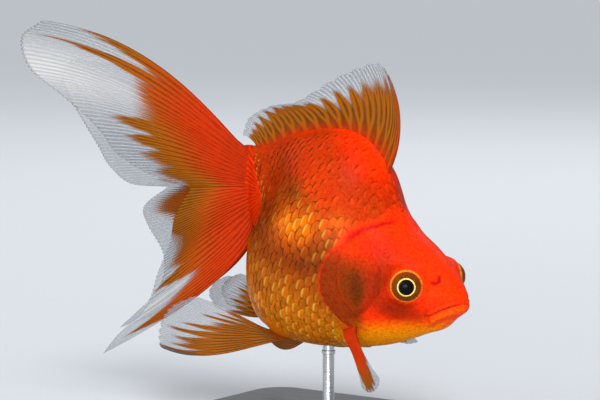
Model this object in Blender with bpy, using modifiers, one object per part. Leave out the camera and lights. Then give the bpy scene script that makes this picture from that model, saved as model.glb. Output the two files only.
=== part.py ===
"""A Ryukin goldfish, life size and still, held by a plain display stand.

The fish is laid out in its own frame, in millimetres, and is then pitched nose down on the stand:
  s  distance back from the snout along the axis of the body
  y  distance to the fish's left
  h  height above that axis
The world has +X where the fish is heading, +Y to its left and +Z up. The origin lies on the
underside of the stand's base, at its middle.
"""
from math import cos, radians, sin
from typing import NamedTuple

import bmesh
import bpy
import numpy as np

MM = 0.001

# Pose and stand
NOSE_DOWN = radians(20.8)
SNOUT_AHEAD = 56.0
SNOUT_HEIGHT = 49.0
BASE_SIZE = (90.0, 60.0, 7.0)
BASE_CORNER = 12.0
BASE_EDGE = 1.5
ROD_RADIUS = 2.0
FOOT_RADIUS = 5.0
FOOT_HEIGHT = 2.5
FOOT_RIM = 1.5
ROD_SIDES = 24

# Clearances between pieces
GAP = 0.3
ROOT_GAP = 0.75
ROD_GAP = 0.75

# Where the body is parted
HEAD_END = 38.0
TRUNK_END = 86.0
STALK_END = 94.0
BODY_SIDES = 32
HEAD_RINGS = 22
TRUNK_RINGS = 21
STALK_RINGS = 5
SNOUT_CROWDING = 1.5
SECTION_POWER = 0.95
HOLLOW_S = 84.0
HOLLOW_LENGTH = 8.0
HOLLOW_DEPTH = 0.38
HOLLOW_LINE = 70.0
HOLLOW_BLEND = 7.0

# Eyes
EYE_CENTRE = (17.2, 12.3, 0.1)
EYE_RADIUS = 5.9
EYE_RINGS = 10

# Mouth: the side view of the wedge that parts the lower jaw from the head
MOUTH_LINE_START = (-3.0, -0.4)
MOUTH_CORNER = (8.4, -6.4)
JAW_HINGE = (13.5, -24.0)
JAW_HALF_WIDTH = 20.0

# Gill covers: plates whose rear edge is an ellipse in side view
GILL_CENTRE = (32.0, -3.0)
GILL_REACH = (13.5, 17.0)
GILL_HEIGHTS = (-17.5, 12.5)
GILL_FRONT = (25.0, 0.25, -9.5)
GILL_THICKNESS = 0.8
GILL_CLEARANCE = 0.4
GILL_GRID = (7, 10)

# Fins: each grid is the points across the rays and the points along them
FIN_THICKNESS = 0.8
DORSAL_GRID = (21, 7)
TAIL_GRID = (17, 9)
PELVIC_GRID = (11, 8)
ANAL_GRID = (7, 5)
PECTORAL_GRID = (8, 7)
TAIL_SWING = 23.0
TAIL_SPREAD = 20.0
TAIL_ROOT_OFFSET = 0.8
TAIL_ROOT_GAP = 0.4
PELVIC_TURN_RIGHT = 35.0
PELVIC_TURN_LEFT = 31.0
PELVIC_DIP_LEFT = 10.0

SKIN_ORANGE = (0.80, 0.10, 0.01, 1.0)
BELLY_GOLD = (0.70, 0.22, 0.02, 1.0)
FIN_ORANGE = (0.75, 0.13, 0.02, 1.0)
FIN_AMBER = (0.60, 0.25, 0.06, 1.0)
EYE_BLACK = (0.02, 0.02, 0.02, 1.0)
BASE_BLACK = (0.03, 0.03, 0.03, 1.0)
STEEL_GREY = (0.60, 0.60, 0.60, 1.0)


class Station(NamedTuple):
    """One cross-section of the body, in millimetres."""

    s: float
    top: float
    bottom: float
    half_width: float
    middle: float
    back_power: float
    belly_power: float
    lean: float


STATIONS = (
    Station(0.0, 0.4, -3.8, 2.0, -1.7, 1.00, 1.00, 0.00),
    Station(1.5, 2.3, -5.8, 3.6, -1.8, 1.00, 1.00, 0.00),
    Station(4.0, 4.3, -9.2, 5.8, -2.0, 1.10, 1.00, 0.00),
    Station(10.0, 7.8, -15.8, 10.6, -2.5, 1.20, 1.00, 0.00),
    Station(20.0, 11.8, -24.6, 16.2, -5.0, 1.17, 1.00, 0.00),
    Station(30.0, 15.2, -30.8, 18.6, -8.0, 1.15, 1.00, 0.00),
    Station(38.0, 20.9, -34.8, 20.0, -10.0, 1.12, 1.00, 0.00),
    Station(46.0, 29.8, -38.3, 22.3, -11.0, 1.12, 0.95, 0.00),
    Station(54.0, 34.0, -40.5, 24.5, -11.0, 1.18, 0.90, 0.00),
    Station(62.0, 34.6, -41.4, 24.5, -11.0, 1.15, 0.90, 0.00),
    Station(72.0, 31.4, -39.2, 21.0, -10.0, 1.10, 0.90, 0.00),
    Station(80.0, 25.6, -31.4, 16.0, -7.0, 1.00, 0.95, 0.06),
    Station(87.0, 17.4, -18.5, 8.6, -1.5, 1.00, 1.00, 0.22),
    Station(94.0, 12.4, -12.4, 2.8, 0.0, 1.00, 1.00, 0.38),
)


class Ray(NamedTuple):
    """A guiding ray of a fin, from its root to its tip, with how far its middle bows upward."""

    root: tuple
    tip: tuple
    bow: float


DORSAL_ROOTS = (44.0, 50.2, 60.0, 71.0, 81.0, 88.0, 92.5)
DORSAL_TIPS = (
    (55.0, 57.8), (63.2, 60.0), (75.0, 49.8), (87.0, 35.6),
    (97.5, 29.2), (104.8, 21.8), (104.5, 15.2),
)
DORSAL_BOWS = (4.2, 4.3, 3.0, 2.4, 2.0, 1.4, 0.6)

TAIL_UPPER_RIGHT = (
    Ray((0.0, 11.5), (72.0, 58.4), 8.6), Ray((0.0, 9.6), (79.2, 52.5), 6.8),
    Ray((0.0, 7.7), (76.5, 42.0), 5.4), Ray((0.0, 5.8), (65.5, 32.5), 4.2),
    Ray((0.0, 4.0), (54.0, 21.8), 3.0), Ray((0.0, 2.6), (46.5, 12.0), 2.0),
    Ray((0.0, 1.4), (35.0, 4.6), 1.0), Ray((0.0, 0.4), (21.0, 0.8), 0.0),
)
TAIL_LOWER_RIGHT = (
    Ray((0.0, -0.4), (21.0, -0.8), 0.0), Ray((0.0, -2.4), (27.0, -10.0), 0.5),
    Ray((0.0, -4.6), (28.6, -18.5), 0.5), Ray((0.0, -6.8), (32.5, -29.0), 0.0),
    Ray((0.0, -9.0), (37.0, -42.0), -2.2), Ray((0.0, -11.0), (47.0, -51.0), -4.9),
    Ray((0.0, -12.4), (52.5, -57.6), -7.4),
)
TAIL_UPPER_LEFT = (
    Ray((0.0, 11.5), (79.0, 41.5), 7.0), Ray((0.0, 9.6), (85.0, 36.0), 6.0),
    Ray((0.0, 7.7), (81.5, 28.5), 5.0), Ray((0.0, 5.8), (73.5, 20.0), 4.0),
    Ray((0.0, 4.0), (66.5, 11.5), 3.0), Ray((0.0, 2.6), (62.0, 3.5), 2.0),
    Ray((0.0, 1.4), (54.0, -2.4), 1.0), Ray((0.0, 0.4), (38.0, -1.6), 0.0),
)
TAIL_LOWER_LEFT = (
    Ray((0.0, -0.4), (37.0, -3.4), 0.0), Ray((0.0, -2.4), (46.0, -9.6), 0.5),
    Ray((0.0, -4.6), (44.5, -16.5), 0.5), Ray((0.0, -6.8), (39.5, -27.0), 0.0),
    Ray((0.0, -9.0), (42.0, -39.0), -2.0), Ray((0.0, -11.0), (51.0, -49.0), -5.5),
    Ray((0.0, -12.4), (57.0, -54.5), -8.5),
)
TAIL_UPPER_SKEW = 1.2
TAIL_LOWER_SKEW = 0.62
TAIL_UPPER_RIPPLE = (1.8, 1.4, 0.0)
TAIL_LOWER_RIPPLE = (1.8, 1.4, 0.4)
DORSAL_RIPPLE = (1.0, 1.6, 0.0)

PELVIC_ROOT_S = (56.5, 63.0)
PELVIC_ROOT_TURN = (-160.5, -153.0)
PELVIC_TIPS = ((40.6, -4.0), (40.8, 1.0), (39.0, 7.0), (35.2, 10.8), (28.5, 13.6))
PELVIC_BOWS = (-4.1, -3.0, -1.6, -0.3, 0.6)
PELVIC_SKEW = 1.5

ANAL_ROOT_S = (71.5, 79.0)
ANAL_ROOT_TURN = 173.0
ANAL_TIPS = ((92.5, -45.5), (96.5, -42.0), (95.5, -37.0), (91.0, -32.6))
ANAL_BOWS = (-1.0, -0.5, 0.5, 1.0)
ANAL_FLARE = 3.5

PECTORAL_ROOT_S = (30.0, 34.5)
PECTORAL_ROOT_TURN = (-118.0, -126.0)
PECTORAL_BOWS = (-2.2, -1.2, 0.2, 1.5, 2.8)
PECTORAL_TIPS_RIGHT = (
    (19.5, -8.0, -14.7), (17.3, -5.7, -18.2), (14.0, -4.1, -20.5),
    (10.7, -2.8, -21.0), (7.5, -1.1, -19.9),
)
PECTORAL_TIPS_LEFT = (
    (-4.0, 18.1, -12.8), (-7.7, 17.6, -13.8), (-10.3, 15.1, -13.0),
    (-12.1, 11.1, -11.0), (-13.4, 6.2, -8.3),
)


def through(knots, values, x):
    """Smooth curve through the values at the knots: cubic pieces with matched slopes."""
    knots = np.asarray(knots, float)
    values = np.asarray(values, float)
    slopes = np.gradient(values, knots)
    i = np.clip(np.searchsorted(knots, x, side="right") - 1, 0, len(knots) - 2)
    span = knots[i + 1] - knots[i]
    t = (x - knots[i]) / span
    rise = (3 - 2 * t) * t * t
    return (
        values[i] * (1 - rise) + values[i + 1] * rise
        + span * t * (1 - t) * ((1 - t) * slopes[i] - t * slopes[i + 1])
    )


def station_values(s):
    """The columns of STATIONS after s, each as a smooth function of s."""
    table = np.array(STATIONS)
    return [through(table[:, 0], table[:, column], s) for column in range(1, table.shape[1])]


def hollow_share(s, h):
    """Share of the width that is left where the flank is drawn in ahead of the tail.

    The hollow lies above a line that falls backward at 45 degrees, where the trunk's bulge ends.
    """
    above = np.clip((s + h - HOLLOW_LINE) / HOLLOW_BLEND, 0, 1)
    above = above * above * (3 - 2 * above)
    return 1 - HOLLOW_DEPTH * np.exp(-(((s - HOLLOW_S) / HOLLOW_LENGTH) ** 2)) * above


def body_point(s, turn):
    """Surface of the body in the fish's frame.

    turn is the angle round the section, 0 on the back, positive to the left. Each section is
    two half superellipses that meet at its widest height, drawn in ahead of the tail, and near
    the tail the sections lean back at the top.
    """
    top, bottom, width, middle, back, belly, lean = station_values(s)
    over = np.cos(turn) >= 0
    across = np.abs(np.sin(turn))
    y = width * np.sign(np.sin(turn)) * across ** np.where(over, back, belly)
    rise = np.abs(np.cos(turn)) ** SECTION_POWER
    h = middle + np.where(over, top - middle, bottom - middle) * rise
    return s + lean * (h - middle), y * hollow_share(s, h), h


def flank_width(s, h):
    """Half width of the body at the station s and the height h."""
    top, bottom, width, middle, back, belly, _ = station_values(s)
    over = h >= middle
    share = np.abs((h - middle) / np.where(over, top - middle, bottom - middle))
    across = np.sqrt(np.clip(1 - share ** (2 / SECTION_POWER), 0, 1))
    return width * across ** np.where(over, back, belly)


def to_world(s, y, h):
    """Points of the fish's frame as world points in metres."""
    s, y, h = np.broadcast_arrays(s, y, h)
    x = SNOUT_AHEAD - s * cos(NOSE_DOWN) + h * sin(NOSE_DOWN)
    z = SNOUT_HEIGHT + s * sin(NOSE_DOWN) + h * cos(NOSE_DOWN)
    return np.stack((x, y, z), -1) * MM


def surface_normals(grid):
    """Unit normals of a grid of points, from the cross product of its two directions."""
    normals = np.cross(np.gradient(grid, axis=0), np.gradient(grid, axis=1))
    return normals / np.linalg.norm(normals, axis=-1, keepdims=True)


def on_body(s, turn, lift):
    """World points on the body at s and turn, lifted by a clearance along the surface normal."""
    step = 1e-3
    here = to_world(*body_point(s, turn))
    along = to_world(*body_point(s + step, turn)) - here
    around = to_world(*body_point(s, turn + step)) - here
    normal = np.cross(along, around)
    normal /= np.linalg.norm(normal, axis=-1, keepdims=True)
    outward = np.sign(normal[..., 1:2] * np.sin(turn)[..., None] + 1e-9)
    return here + normal * outward * lift * MM


def material(name, colour, roughness, metallic=0.0):
    """A Principled material of one colour."""
    made = bpy.data.materials.new(name)
    made.use_nodes = True
    shader = made.node_tree.nodes["Principled BSDF"]
    shader.inputs["Base Color"].default_value = colour
    shader.inputs["Roughness"].default_value = roughness
    shader.inputs["Metallic"].default_value = metallic
    made.diffuse_color = colour
    return made


def finish(thing, collection, colour, roughness=0.4, metallic=0.0):
    """Give an object its own material and put it in its collection."""
    thing.data.materials.clear()
    thing.data.materials.append(material(thing.name + "_finish", colour, roughness, metallic))
    for holder in list(thing.users_collection):
        holder.objects.unlink(thing)
    collection.objects.link(thing)
    return thing


def mesh_object(name, points, faces):
    """A new object from points in metres and faces, smooth shaded."""
    mesh = bpy.data.meshes.new(name)
    mesh.from_pydata(np.reshape(points, (-1, 3)).tolist(), [], faces)
    mesh.shade_smooth()
    thing = bpy.data.objects.new(name, mesh)
    bpy.context.scene.collection.objects.link(thing)
    return thing


def grid_faces(rows, columns, closed):
    """Quads of a grid of points; a closed grid joins its last column to its first."""
    faces = []
    for i in range(rows - 1):
        here, after = i * columns, (i + 1) * columns
        for j in range(columns if closed else columns - 1):
            k = (j + 1) % columns
            faces.append((here + j, here + k, after + k, after + j))
    return faces


def loft(name, rings):
    """A closed solid through rings of points, with a fan of triangles over each end."""
    rows, columns = rings.shape[:2]
    faces = grid_faces(rows, columns, closed=True)
    points = np.concatenate((rings.reshape(-1, 3), rings[[0, -1]].mean(axis=1)))
    front, back = rows * columns, rows * columns + 1
    for j in range(columns):
        k = (j + 1) % columns
        faces.append((front, k, j))
        faces.append((back, (rows - 1) * columns + j, (rows - 1) * columns + k))
    thing = mesh_object(name, points, faces)
    turn_outward(thing.data)
    return thing


def turn_outward(mesh):
    """Point a closed mesh's faces outward."""
    work = bmesh.new()
    work.from_mesh(mesh)
    bmesh.ops.recalc_face_normals(work, faces=work.faces)
    work.to_mesh(mesh)
    work.free()


def sheet(name, grid, thickness):
    """A thin plate: a grid of points given its thickness by Solidify."""
    thing = mesh_object(name, grid, grid_faces(*grid.shape[:2], closed=False))
    shell = thing.modifiers.new("thickness", "SOLIDIFY")
    shell.thickness = thickness * MM
    shell.offset = 0.0
    return thing


def body_rings(stations):
    """Rings of world points on the body at the given stations."""
    turns = np.linspace(0, 2 * np.pi, BODY_SIDES, endpoint=False)
    return to_world(*body_point(stations[:, None], turns[None, :]))


def boolean(thing, operation, cutter):
    """Cut a thing by a cutter, or keep what they share."""
    cut = thing.modifiers.new(operation.lower() + "_" + cutter.name, "BOOLEAN")
    cut.operation = operation
    cut.solver = "EXACT"
    cut.object = cutter


def as_cutter(thing, collection):
    """Mark an object as a cutter: kept out of renders and drawn as wire."""
    for holder in list(thing.users_collection):
        holder.objects.unlink(thing)
    collection.objects.link(thing)
    thing.hide_render = True
    thing.display_type = "WIRE"
    return thing


def jaw_wedge(name, clearance):
    """The wedge below the mouth line, drawn in side view and extruded across the head."""
    outline = [
        (MOUTH_LINE_START[0], MOUTH_LINE_START[1] - clearance),
        (MOUTH_CORNER[0] - clearance, MOUTH_CORNER[1] - clearance),
        (JAW_HINGE[0] - clearance, JAW_HINGE[1]),
        (MOUTH_LINE_START[0], JAW_HINGE[1]),
    ]
    work = bmesh.new()
    corners = [work.verts.new(to_world(s, JAW_HALF_WIDTH, h)) for s, h in outline]
    face = work.faces.new(corners)
    side = bmesh.ops.extrude_face_region(work, geom=[face])["geom"]
    moved = [item for item in side if isinstance(item, bmesh.types.BMVert)]
    bmesh.ops.translate(work, verts=moved, vec=(0, -2 * JAW_HALF_WIDTH * MM, 0))
    bmesh.ops.recalc_face_normals(work, faces=work.faces)
    mesh = bpy.data.meshes.new(name)
    work.to_mesh(mesh)
    work.free()
    thing = bpy.data.objects.new(name, mesh)
    bpy.context.scene.collection.objects.link(thing)
    return thing


def eyeball(name, side, extra):
    """A ball at the eye's place on one side, larger than the eye by extra."""
    s, y, h = EYE_CENTRE
    centre = to_world(s, side * y, h)
    bpy.ops.mesh.primitive_uv_sphere_add(
        segments=2 * EYE_RINGS, ring_count=EYE_RINGS, radius=(EYE_RADIUS + extra) * MM,
        location=centre, rotation=(radians(90), 0, 0),
    )
    thing = bpy.context.object
    thing.name = name
    thing.data.shade_smooth()
    return thing


def build_body(parts, cutters):
    """Head, lower jaw, trunk and tail stalk, parted by thin cuts, and the eyes."""
    head_stations = HEAD_END * np.linspace(0, 1, HEAD_RINGS) ** SNOUT_CROWDING
    head_rings = body_rings(head_stations)
    head = finish(loft("head", head_rings), parts, SKIN_ORANGE)
    jaw = finish(loft("lower_jaw", head_rings), parts, BELLY_GOLD)
    boolean(head, "DIFFERENCE", as_cutter(jaw_wedge("mouth_cut", 0.0), cutters))
    boolean(jaw, "INTERSECT", as_cutter(jaw_wedge("jaw_keep", GAP), cutters))
    for side, word in ((1, "left"), (-1, "right")):
        socket = eyeball("socket_" + word, side, GAP)
        boolean(head, "DIFFERENCE", as_cutter(socket, cutters))
        finish(eyeball("eye_" + word, side, 0.0), parts, EYE_BLACK, 0.1)
    trunk_stations = np.linspace(HEAD_END + GAP, TRUNK_END, TRUNK_RINGS)
    finish(loft("trunk", body_rings(trunk_stations)), parts, SKIN_ORANGE)
    stalk_stations = np.linspace(TRUNK_END + GAP, STALK_END, STALK_RINGS)
    finish(loft("tail_stalk", body_rings(stalk_stations)), parts, SKIN_ORANGE)


def build_gill_covers(parts):
    """A plate over each gill, lying on the head's flank and ending in an elliptic rear edge."""
    lengthways, upright = GILL_GRID
    heights = np.linspace(*GILL_HEIGHTS, upright)[None, :]
    share = np.linspace(0, 1, lengthways)[:, None]
    front = GILL_FRONT[0] + GILL_FRONT[1] * (heights - GILL_FRONT[2])
    bulge = 1 - ((heights - GILL_CENTRE[1]) / GILL_REACH[1]) ** 2
    rear = GILL_CENTRE[0] + GILL_REACH[0] * np.sqrt(bulge)
    s = front + (rear - front) * share
    lift = GILL_CLEARANCE + GILL_THICKNESS / 2
    for side, word in ((1, "left"), (-1, "right")):
        surface = to_world(s, side * flank_width(s, heights), heights + 0 * s)
        outward = surface_normals(surface)
        outward *= np.sign(outward[..., 1:2]) * side
        plate = sheet("gill_cover_" + word, surface + outward * lift * MM, GILL_THICKNESS)
        finish(plate, parts, SKIN_ORANGE)


def fan(roots, tips, bows, bow_way, grid, skew=1.0, ripple=(0.0, 0.0, 0.0)):
    """A fin's surface: straight lines from roots to tips, bowed sideways of themselves.

    roots and tips are guiding points, (n, 3); bows are distances, along bow_way made square to
    each ray. The bow follows 4w(1 - w), with w the share along the ray raised to skew. A ripple
    square to the fin grows from the root to the tip; it has a height, a number of waves across
    the fin and the share of a wave at which it starts. grid is the number of points across the
    rays and along them.
    """
    across, along = grid
    guides = np.linspace(0, 1, len(tips))
    u = np.linspace(0, 1, across)
    root = np.stack([through(guides, column, u) for column in np.transpose(roots)], -1)
    tip = np.stack([through(guides, column, u) for column in np.transpose(tips)], -1)
    bow = through(guides, bows, u)[:, None, None] * MM
    chord = tip - root
    way = chord / np.linalg.norm(chord, axis=-1, keepdims=True)
    square = np.asarray(bow_way) - (way @ np.asarray(bow_way))[:, None] * way
    square /= np.linalg.norm(square, axis=-1, keepdims=True)
    v = np.linspace(0, 1, along)[None, :, None]
    w = v ** skew
    height, waves, start = ripple
    lift = height * MM * np.sin(2 * np.pi * (waves * u + start))[:, None, None] * v
    flat = root[:, None] + chord[:, None] * v + square[:, None] * bow * 4 * w * (1 - w)
    return flat + np.cross(way, square)[:, None] * lift


def build_dorsal(parts):
    """The sail-like fin on the back, from the hump to the tail stalk."""
    s = np.array(DORSAL_ROOTS)
    root_s, root_y, root_h = body_point(s, 0 * s)
    roots = to_world(root_s, root_y, root_h + ROOT_GAP / 2)
    tip_s, tip_h = np.transpose(DORSAL_TIPS)
    tips = to_world(tip_s, 0.0, tip_h)
    grid = fan(roots, tips, DORSAL_BOWS, (1, 0, 0), DORSAL_GRID, ripple=DORSAL_RIPPLE)
    finish(sheet("dorsal_fin", grid, FIN_THICKNESS), parts, FIN_ORANGE)


def tail_frame(side):
    """Origin at the end of the tail stalk, backward and upward directions of one tail half."""
    turn = radians(TAIL_SWING + TAIL_SPREAD) if side < 0 else radians(TAIL_SWING - TAIL_SPREAD)
    middle = to_world(STALK_END, side * TAIL_ROOT_OFFSET, 0.0)
    back = np.array((-cos(turn), -sin(turn), 0.0))
    origin = middle - np.array((TAIL_ROOT_GAP, 0.0, 0.0)) * MM
    return origin, back, np.array((0.0, 0.0, 1.0))


def build_tail(parts):
    """The twin tail, swung to the right: two halves, each with an upper and a lower lobe."""
    lobes = (
        ("tail_upper_right", -1, TAIL_UPPER_RIGHT, TAIL_UPPER_SKEW, TAIL_UPPER_RIPPLE),
        ("tail_lower_right", -1, TAIL_LOWER_RIGHT, TAIL_LOWER_SKEW, TAIL_LOWER_RIPPLE),
        ("tail_upper_left", 1, TAIL_UPPER_LEFT, TAIL_UPPER_SKEW, TAIL_UPPER_RIPPLE),
        ("tail_lower_left", 1, TAIL_LOWER_LEFT, TAIL_LOWER_SKEW, TAIL_LOWER_RIPPLE),
    )
    for name, side, rays, skew, ripple in lobes:
        origin, back, up = tail_frame(side)
        roots = [origin + (back * ray.root[0] + up * ray.root[1]) * MM for ray in rays]
        tips = [origin + (back * ray.tip[0] + up * ray.tip[1]) * MM for ray in rays]
        bows = [ray.bow for ray in rays]
        grid = fan(roots, tips, bows, up, TAIL_GRID, skew, ripple)
        finish(sheet(name, grid, FIN_THICKNESS), parts, FIN_ORANGE)


def build_pelvics(parts):
    """The pair of fins under the belly, swept back and out; the left one hangs lower."""
    settings = (("right", -1, PELVIC_TURN_RIGHT, 0.0), ("left", 1, PELVIC_TURN_LEFT, PELVIC_DIP_LEFT))
    for word, side, azimuth, dip in settings:
        s = np.linspace(*PELVIC_ROOT_S, len(PELVIC_TIPS))
        turn = np.radians(np.linspace(*PELVIC_ROOT_TURN, len(PELVIC_TIPS))) * -side
        roots = on_body(s, turn, ROOT_GAP)
        out, down = radians(azimuth), radians(dip)
        back = np.array((-cos(out) * cos(down), side * sin(out) * cos(down), -sin(down)))
        up = np.array((-cos(out) * sin(down), side * sin(out) * sin(down), cos(down)))
        middle = roots.mean(axis=0)
        tips = [middle + (back * t + up * z) * MM for t, z in PELVIC_TIPS]
        grid = fan(roots, tips, PELVIC_BOWS, up, PELVIC_GRID, PELVIC_SKEW)
        finish(sheet("pelvic_fin_" + word, grid, FIN_THICKNESS), parts, FIN_AMBER)


def build_anals(parts):
    """The pair of small fins behind the vent."""
    for word, side in (("right", -1), ("left", 1)):
        s = np.linspace(*ANAL_ROOT_S, len(ANAL_TIPS))
        turn = np.full(len(ANAL_TIPS), radians(ANAL_ROOT_TURN) * side)
        roots = on_body(s, turn, ROOT_GAP)
        tips = [to_world(tip_s, side * ANAL_FLARE, tip_h) for tip_s, tip_h in ANAL_TIPS]
        grid = fan(roots, tips, ANAL_BOWS, (0, 0, 1), ANAL_GRID)
        finish(sheet("anal_fin_" + word, grid, FIN_THICKNESS), parts, FIN_AMBER)


def build_pectorals(parts):
    """The paddles behind the gills: the right one swung forward and down, the left one back."""
    for word, side, offsets in (("right", -1, PECTORAL_TIPS_RIGHT), ("left", 1, PECTORAL_TIPS_LEFT)):
        s = np.linspace(*PECTORAL_ROOT_S, len(offsets))
        turn = np.radians(np.linspace(*PECTORAL_ROOT_TURN, len(offsets))) * -side
        roots = on_body(s, turn, ROOT_GAP)
        tips = roots.mean(axis=0) + np.array(offsets) * MM
        grid = fan(roots, tips, PECTORAL_BOWS, tips[0] - tips[-1], PECTORAL_GRID)
        finish(sheet("pectoral_fin_" + word, grid, FIN_THICKNESS), parts, FIN_ORANGE)


def belly_height():
    """Height in millimetres of the belly straight above the stand's middle."""
    s = np.linspace(HEAD_END, TRUNK_END, 200)
    belly = to_world(*body_point(s, np.full_like(s, np.pi)))
    return np.interp(0.0, -belly[:, 0], belly[:, 2]) / MM


def round_off(work, edges, radius, segments):
    """Round the edges of a bmesh to a radius in millimetres."""
    bmesh.ops.bevel(
        work, geom=edges, offset=radius * MM, segments=segments, profile=0.5, affect="EDGES"
    )


def build_base(parts):
    """A flat base with rounded corners and an eased upper edge."""
    length, width, height = (size * MM for size in BASE_SIZE)
    work = bmesh.new()
    bmesh.ops.create_cube(work, size=1.0)
    bmesh.ops.scale(work, vec=(length, width, height), verts=work.verts)
    bmesh.ops.translate(work, vec=(0, 0, height / 2), verts=work.verts)
    upright = [edge for edge in work.edges if edge.calc_length() < 1.01 * height]
    round_off(work, upright, BASE_CORNER, 6)
    rim = [edge for edge in work.edges if all(vert.co.z > height / 2 for vert in edge.verts)]
    round_off(work, rim, BASE_EDGE, 2)
    mesh = bpy.data.meshes.new("stand_base")
    work.to_mesh(mesh)
    work.free()
    base = bpy.data.objects.new("stand_base", mesh)
    bpy.context.scene.collection.objects.link(base)
    finish(base, parts, BASE_BLACK, 0.3)


def build_rod(parts):
    """A turned rod with a flared foot, from the base up to the belly."""
    top = belly_height() - ROD_GAP
    foot = BASE_SIZE[2] + GAP
    profile = [
        (0.0, top), (ROD_RADIUS, top), (ROD_RADIUS, foot + FOOT_HEIGHT),
        (FOOT_RADIUS, foot + FOOT_RIM), (FOOT_RADIUS, foot), (0.0, foot),
    ]
    points = [(radius * MM, 0.0, z * MM) for radius, z in profile]
    mesh = bpy.data.meshes.new("stand_rod")
    mesh.from_pydata(points, [(i, i + 1) for i in range(len(points) - 1)], [])
    rod = bpy.data.objects.new("stand_rod", mesh)
    bpy.context.scene.collection.objects.link(rod)
    turned = rod.modifiers.new("turned", "SCREW")
    turned.steps = turned.render_steps = ROD_SIDES
    turned.use_merge_vertices = True
    turned.merge_threshold = 1e-5
    finish(rod, parts, STEEL_GREY, 0.25, 1.0)


def main():
    """Clear the scene and build the fish and its stand."""
    for thing in list(bpy.data.objects):
        bpy.data.objects.remove(thing)
    parts = bpy.data.collections.new("ryukin_goldfish")
    cutters = bpy.data.collections.new("cutters")
    for collection in (parts, cutters):
        bpy.context.scene.collection.children.link(collection)
    build_body(parts, cutters)
    build_gill_covers(parts)
    build_dorsal(parts)
    build_tail(parts)
    build_pelvics(parts)
    build_anals(parts)
    build_pectorals(parts)
    build_base(parts)
    build_rod(parts)


main()
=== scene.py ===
"""Looks of a life-size Ryukin goldfish, nose down over a small display stand.

The fish is laid out in its own frame, in millimetres, as its solids are:
  s  distance back from the snout along the axis of the body
  y  distance to the fish's left
  h  height above that axis
One skin covers the head, jaw, trunk, tail stalk and gill covers. Scales are closed plates over
it, fins are thin closed sheets with raised rays, and the eyes are separate.
"""

import logging
from dataclasses import dataclass
from enum import Enum
from math import cos, pi, radians, sin

import bpy
import numpy as np
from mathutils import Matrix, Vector


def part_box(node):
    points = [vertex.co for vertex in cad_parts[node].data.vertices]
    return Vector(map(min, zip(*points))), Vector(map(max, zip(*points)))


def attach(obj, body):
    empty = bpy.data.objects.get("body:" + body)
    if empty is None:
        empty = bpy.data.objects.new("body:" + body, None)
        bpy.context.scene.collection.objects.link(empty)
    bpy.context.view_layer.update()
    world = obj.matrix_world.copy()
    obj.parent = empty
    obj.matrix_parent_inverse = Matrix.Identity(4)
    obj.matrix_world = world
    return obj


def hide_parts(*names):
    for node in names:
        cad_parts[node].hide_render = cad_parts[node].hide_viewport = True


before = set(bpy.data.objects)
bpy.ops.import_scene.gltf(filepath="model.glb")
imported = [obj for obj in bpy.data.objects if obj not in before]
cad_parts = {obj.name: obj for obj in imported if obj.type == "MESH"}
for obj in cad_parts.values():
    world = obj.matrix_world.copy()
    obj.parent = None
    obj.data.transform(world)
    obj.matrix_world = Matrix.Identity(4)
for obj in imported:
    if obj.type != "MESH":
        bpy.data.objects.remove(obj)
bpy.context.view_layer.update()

LOG = logging.getLogger("ryukin")
MM = 0.001
Array = np.ndarray
Tree = bpy.types.NodeTree
Socket = bpy.types.NodeSocket


class Side(Enum):
    """The two sides of the fish, as the sign of y."""

    LEFT = 1
    RIGHT = -1

    @property
    def word(self) -> str:
        """The side's name in a node or piece."""
        return self.name.lower()


# ---------------------------------------------------------------- curves and meshes


def smooth(x: Array, low: float, high: float) -> Array:
    """Smooth step: 0 up to low, 1 from high, and 3t² - 2t³ of the share t between them.

    Args:
        x: values to step.
        low: where the step starts; it may lie above high for a falling step.
        high: where it ends.

    Returns:
        The step, of x's shape.
    """
    t = np.clip((x - low) / (high - low), 0, 1)
    return t * t * (3 - 2 * t)


def bell(distance: Array, width: float) -> Array:
    """Bell curve exp(-(distance / width)²)."""
    return np.exp(-((distance / width) ** 2))


def through(knots: Array, values: Array, x: Array) -> Array:
    """Smooth curve through the values at the knots: cubic pieces with matched slopes.

    Args:
        knots: rising places, (n,).
        values: the value at each knot, (n,).
        x: places to read.

    Returns:
        The curve at x.
    """
    knots = np.asarray(knots, float)
    values = np.asarray(values, float)
    slopes = np.gradient(values, knots)
    i = np.clip(np.searchsorted(knots, x, side="right") - 1, 0, len(knots) - 2)
    span = knots[i + 1] - knots[i]
    t = (x - knots[i]) / span
    rise = (3 - 2 * t) * t * t
    return (
        values[i] * (1 - rise) + values[i + 1] * rise
        + span * t * (1 - t) * ((1 - t) * slopes[i] - t * slopes[i + 1])
    )


def unit(vectors: Array) -> Array:
    """Vectors scaled to a length of one."""
    length = np.linalg.norm(vectors, axis=-1, keepdims=True)
    return vectors / np.maximum(length, 1e-12)


def grid_normals(grid: Array, wrap: bool) -> Array:
    """Unit normals of a grid: the cross product of its steps along rows and along columns.

    Args:
        grid: points, (rows, columns, 3).
        wrap: whether the last column joins the first.

    Returns:
        Normals of the grid's shape.
    """
    down = np.gradient(grid, axis=0)
    if wrap:
        across = np.roll(grid, -1, axis=1) - np.roll(grid, 1, axis=1)
    else:
        across = np.gradient(grid, axis=1)
    return unit(np.cross(down, across))


def grid_quads(index: Array, wrap: bool = False) -> Array:
    """Quads of a grid of vertex numbers, (n, 4); wrap joins the last column to the first.

    Args:
        index: vertex numbers, (rows, columns).
        wrap: whether the last column joins the first.

    Returns:
        The quads, (n, 4).
    """
    if wrap:
        index = np.concatenate((index, index[:, :1]), axis=1)
    corners = (index[:-1, :-1], index[1:, :-1], index[1:, 1:], index[:-1, 1:])
    return np.stack([corner.ravel() for corner in corners], -1)


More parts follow.
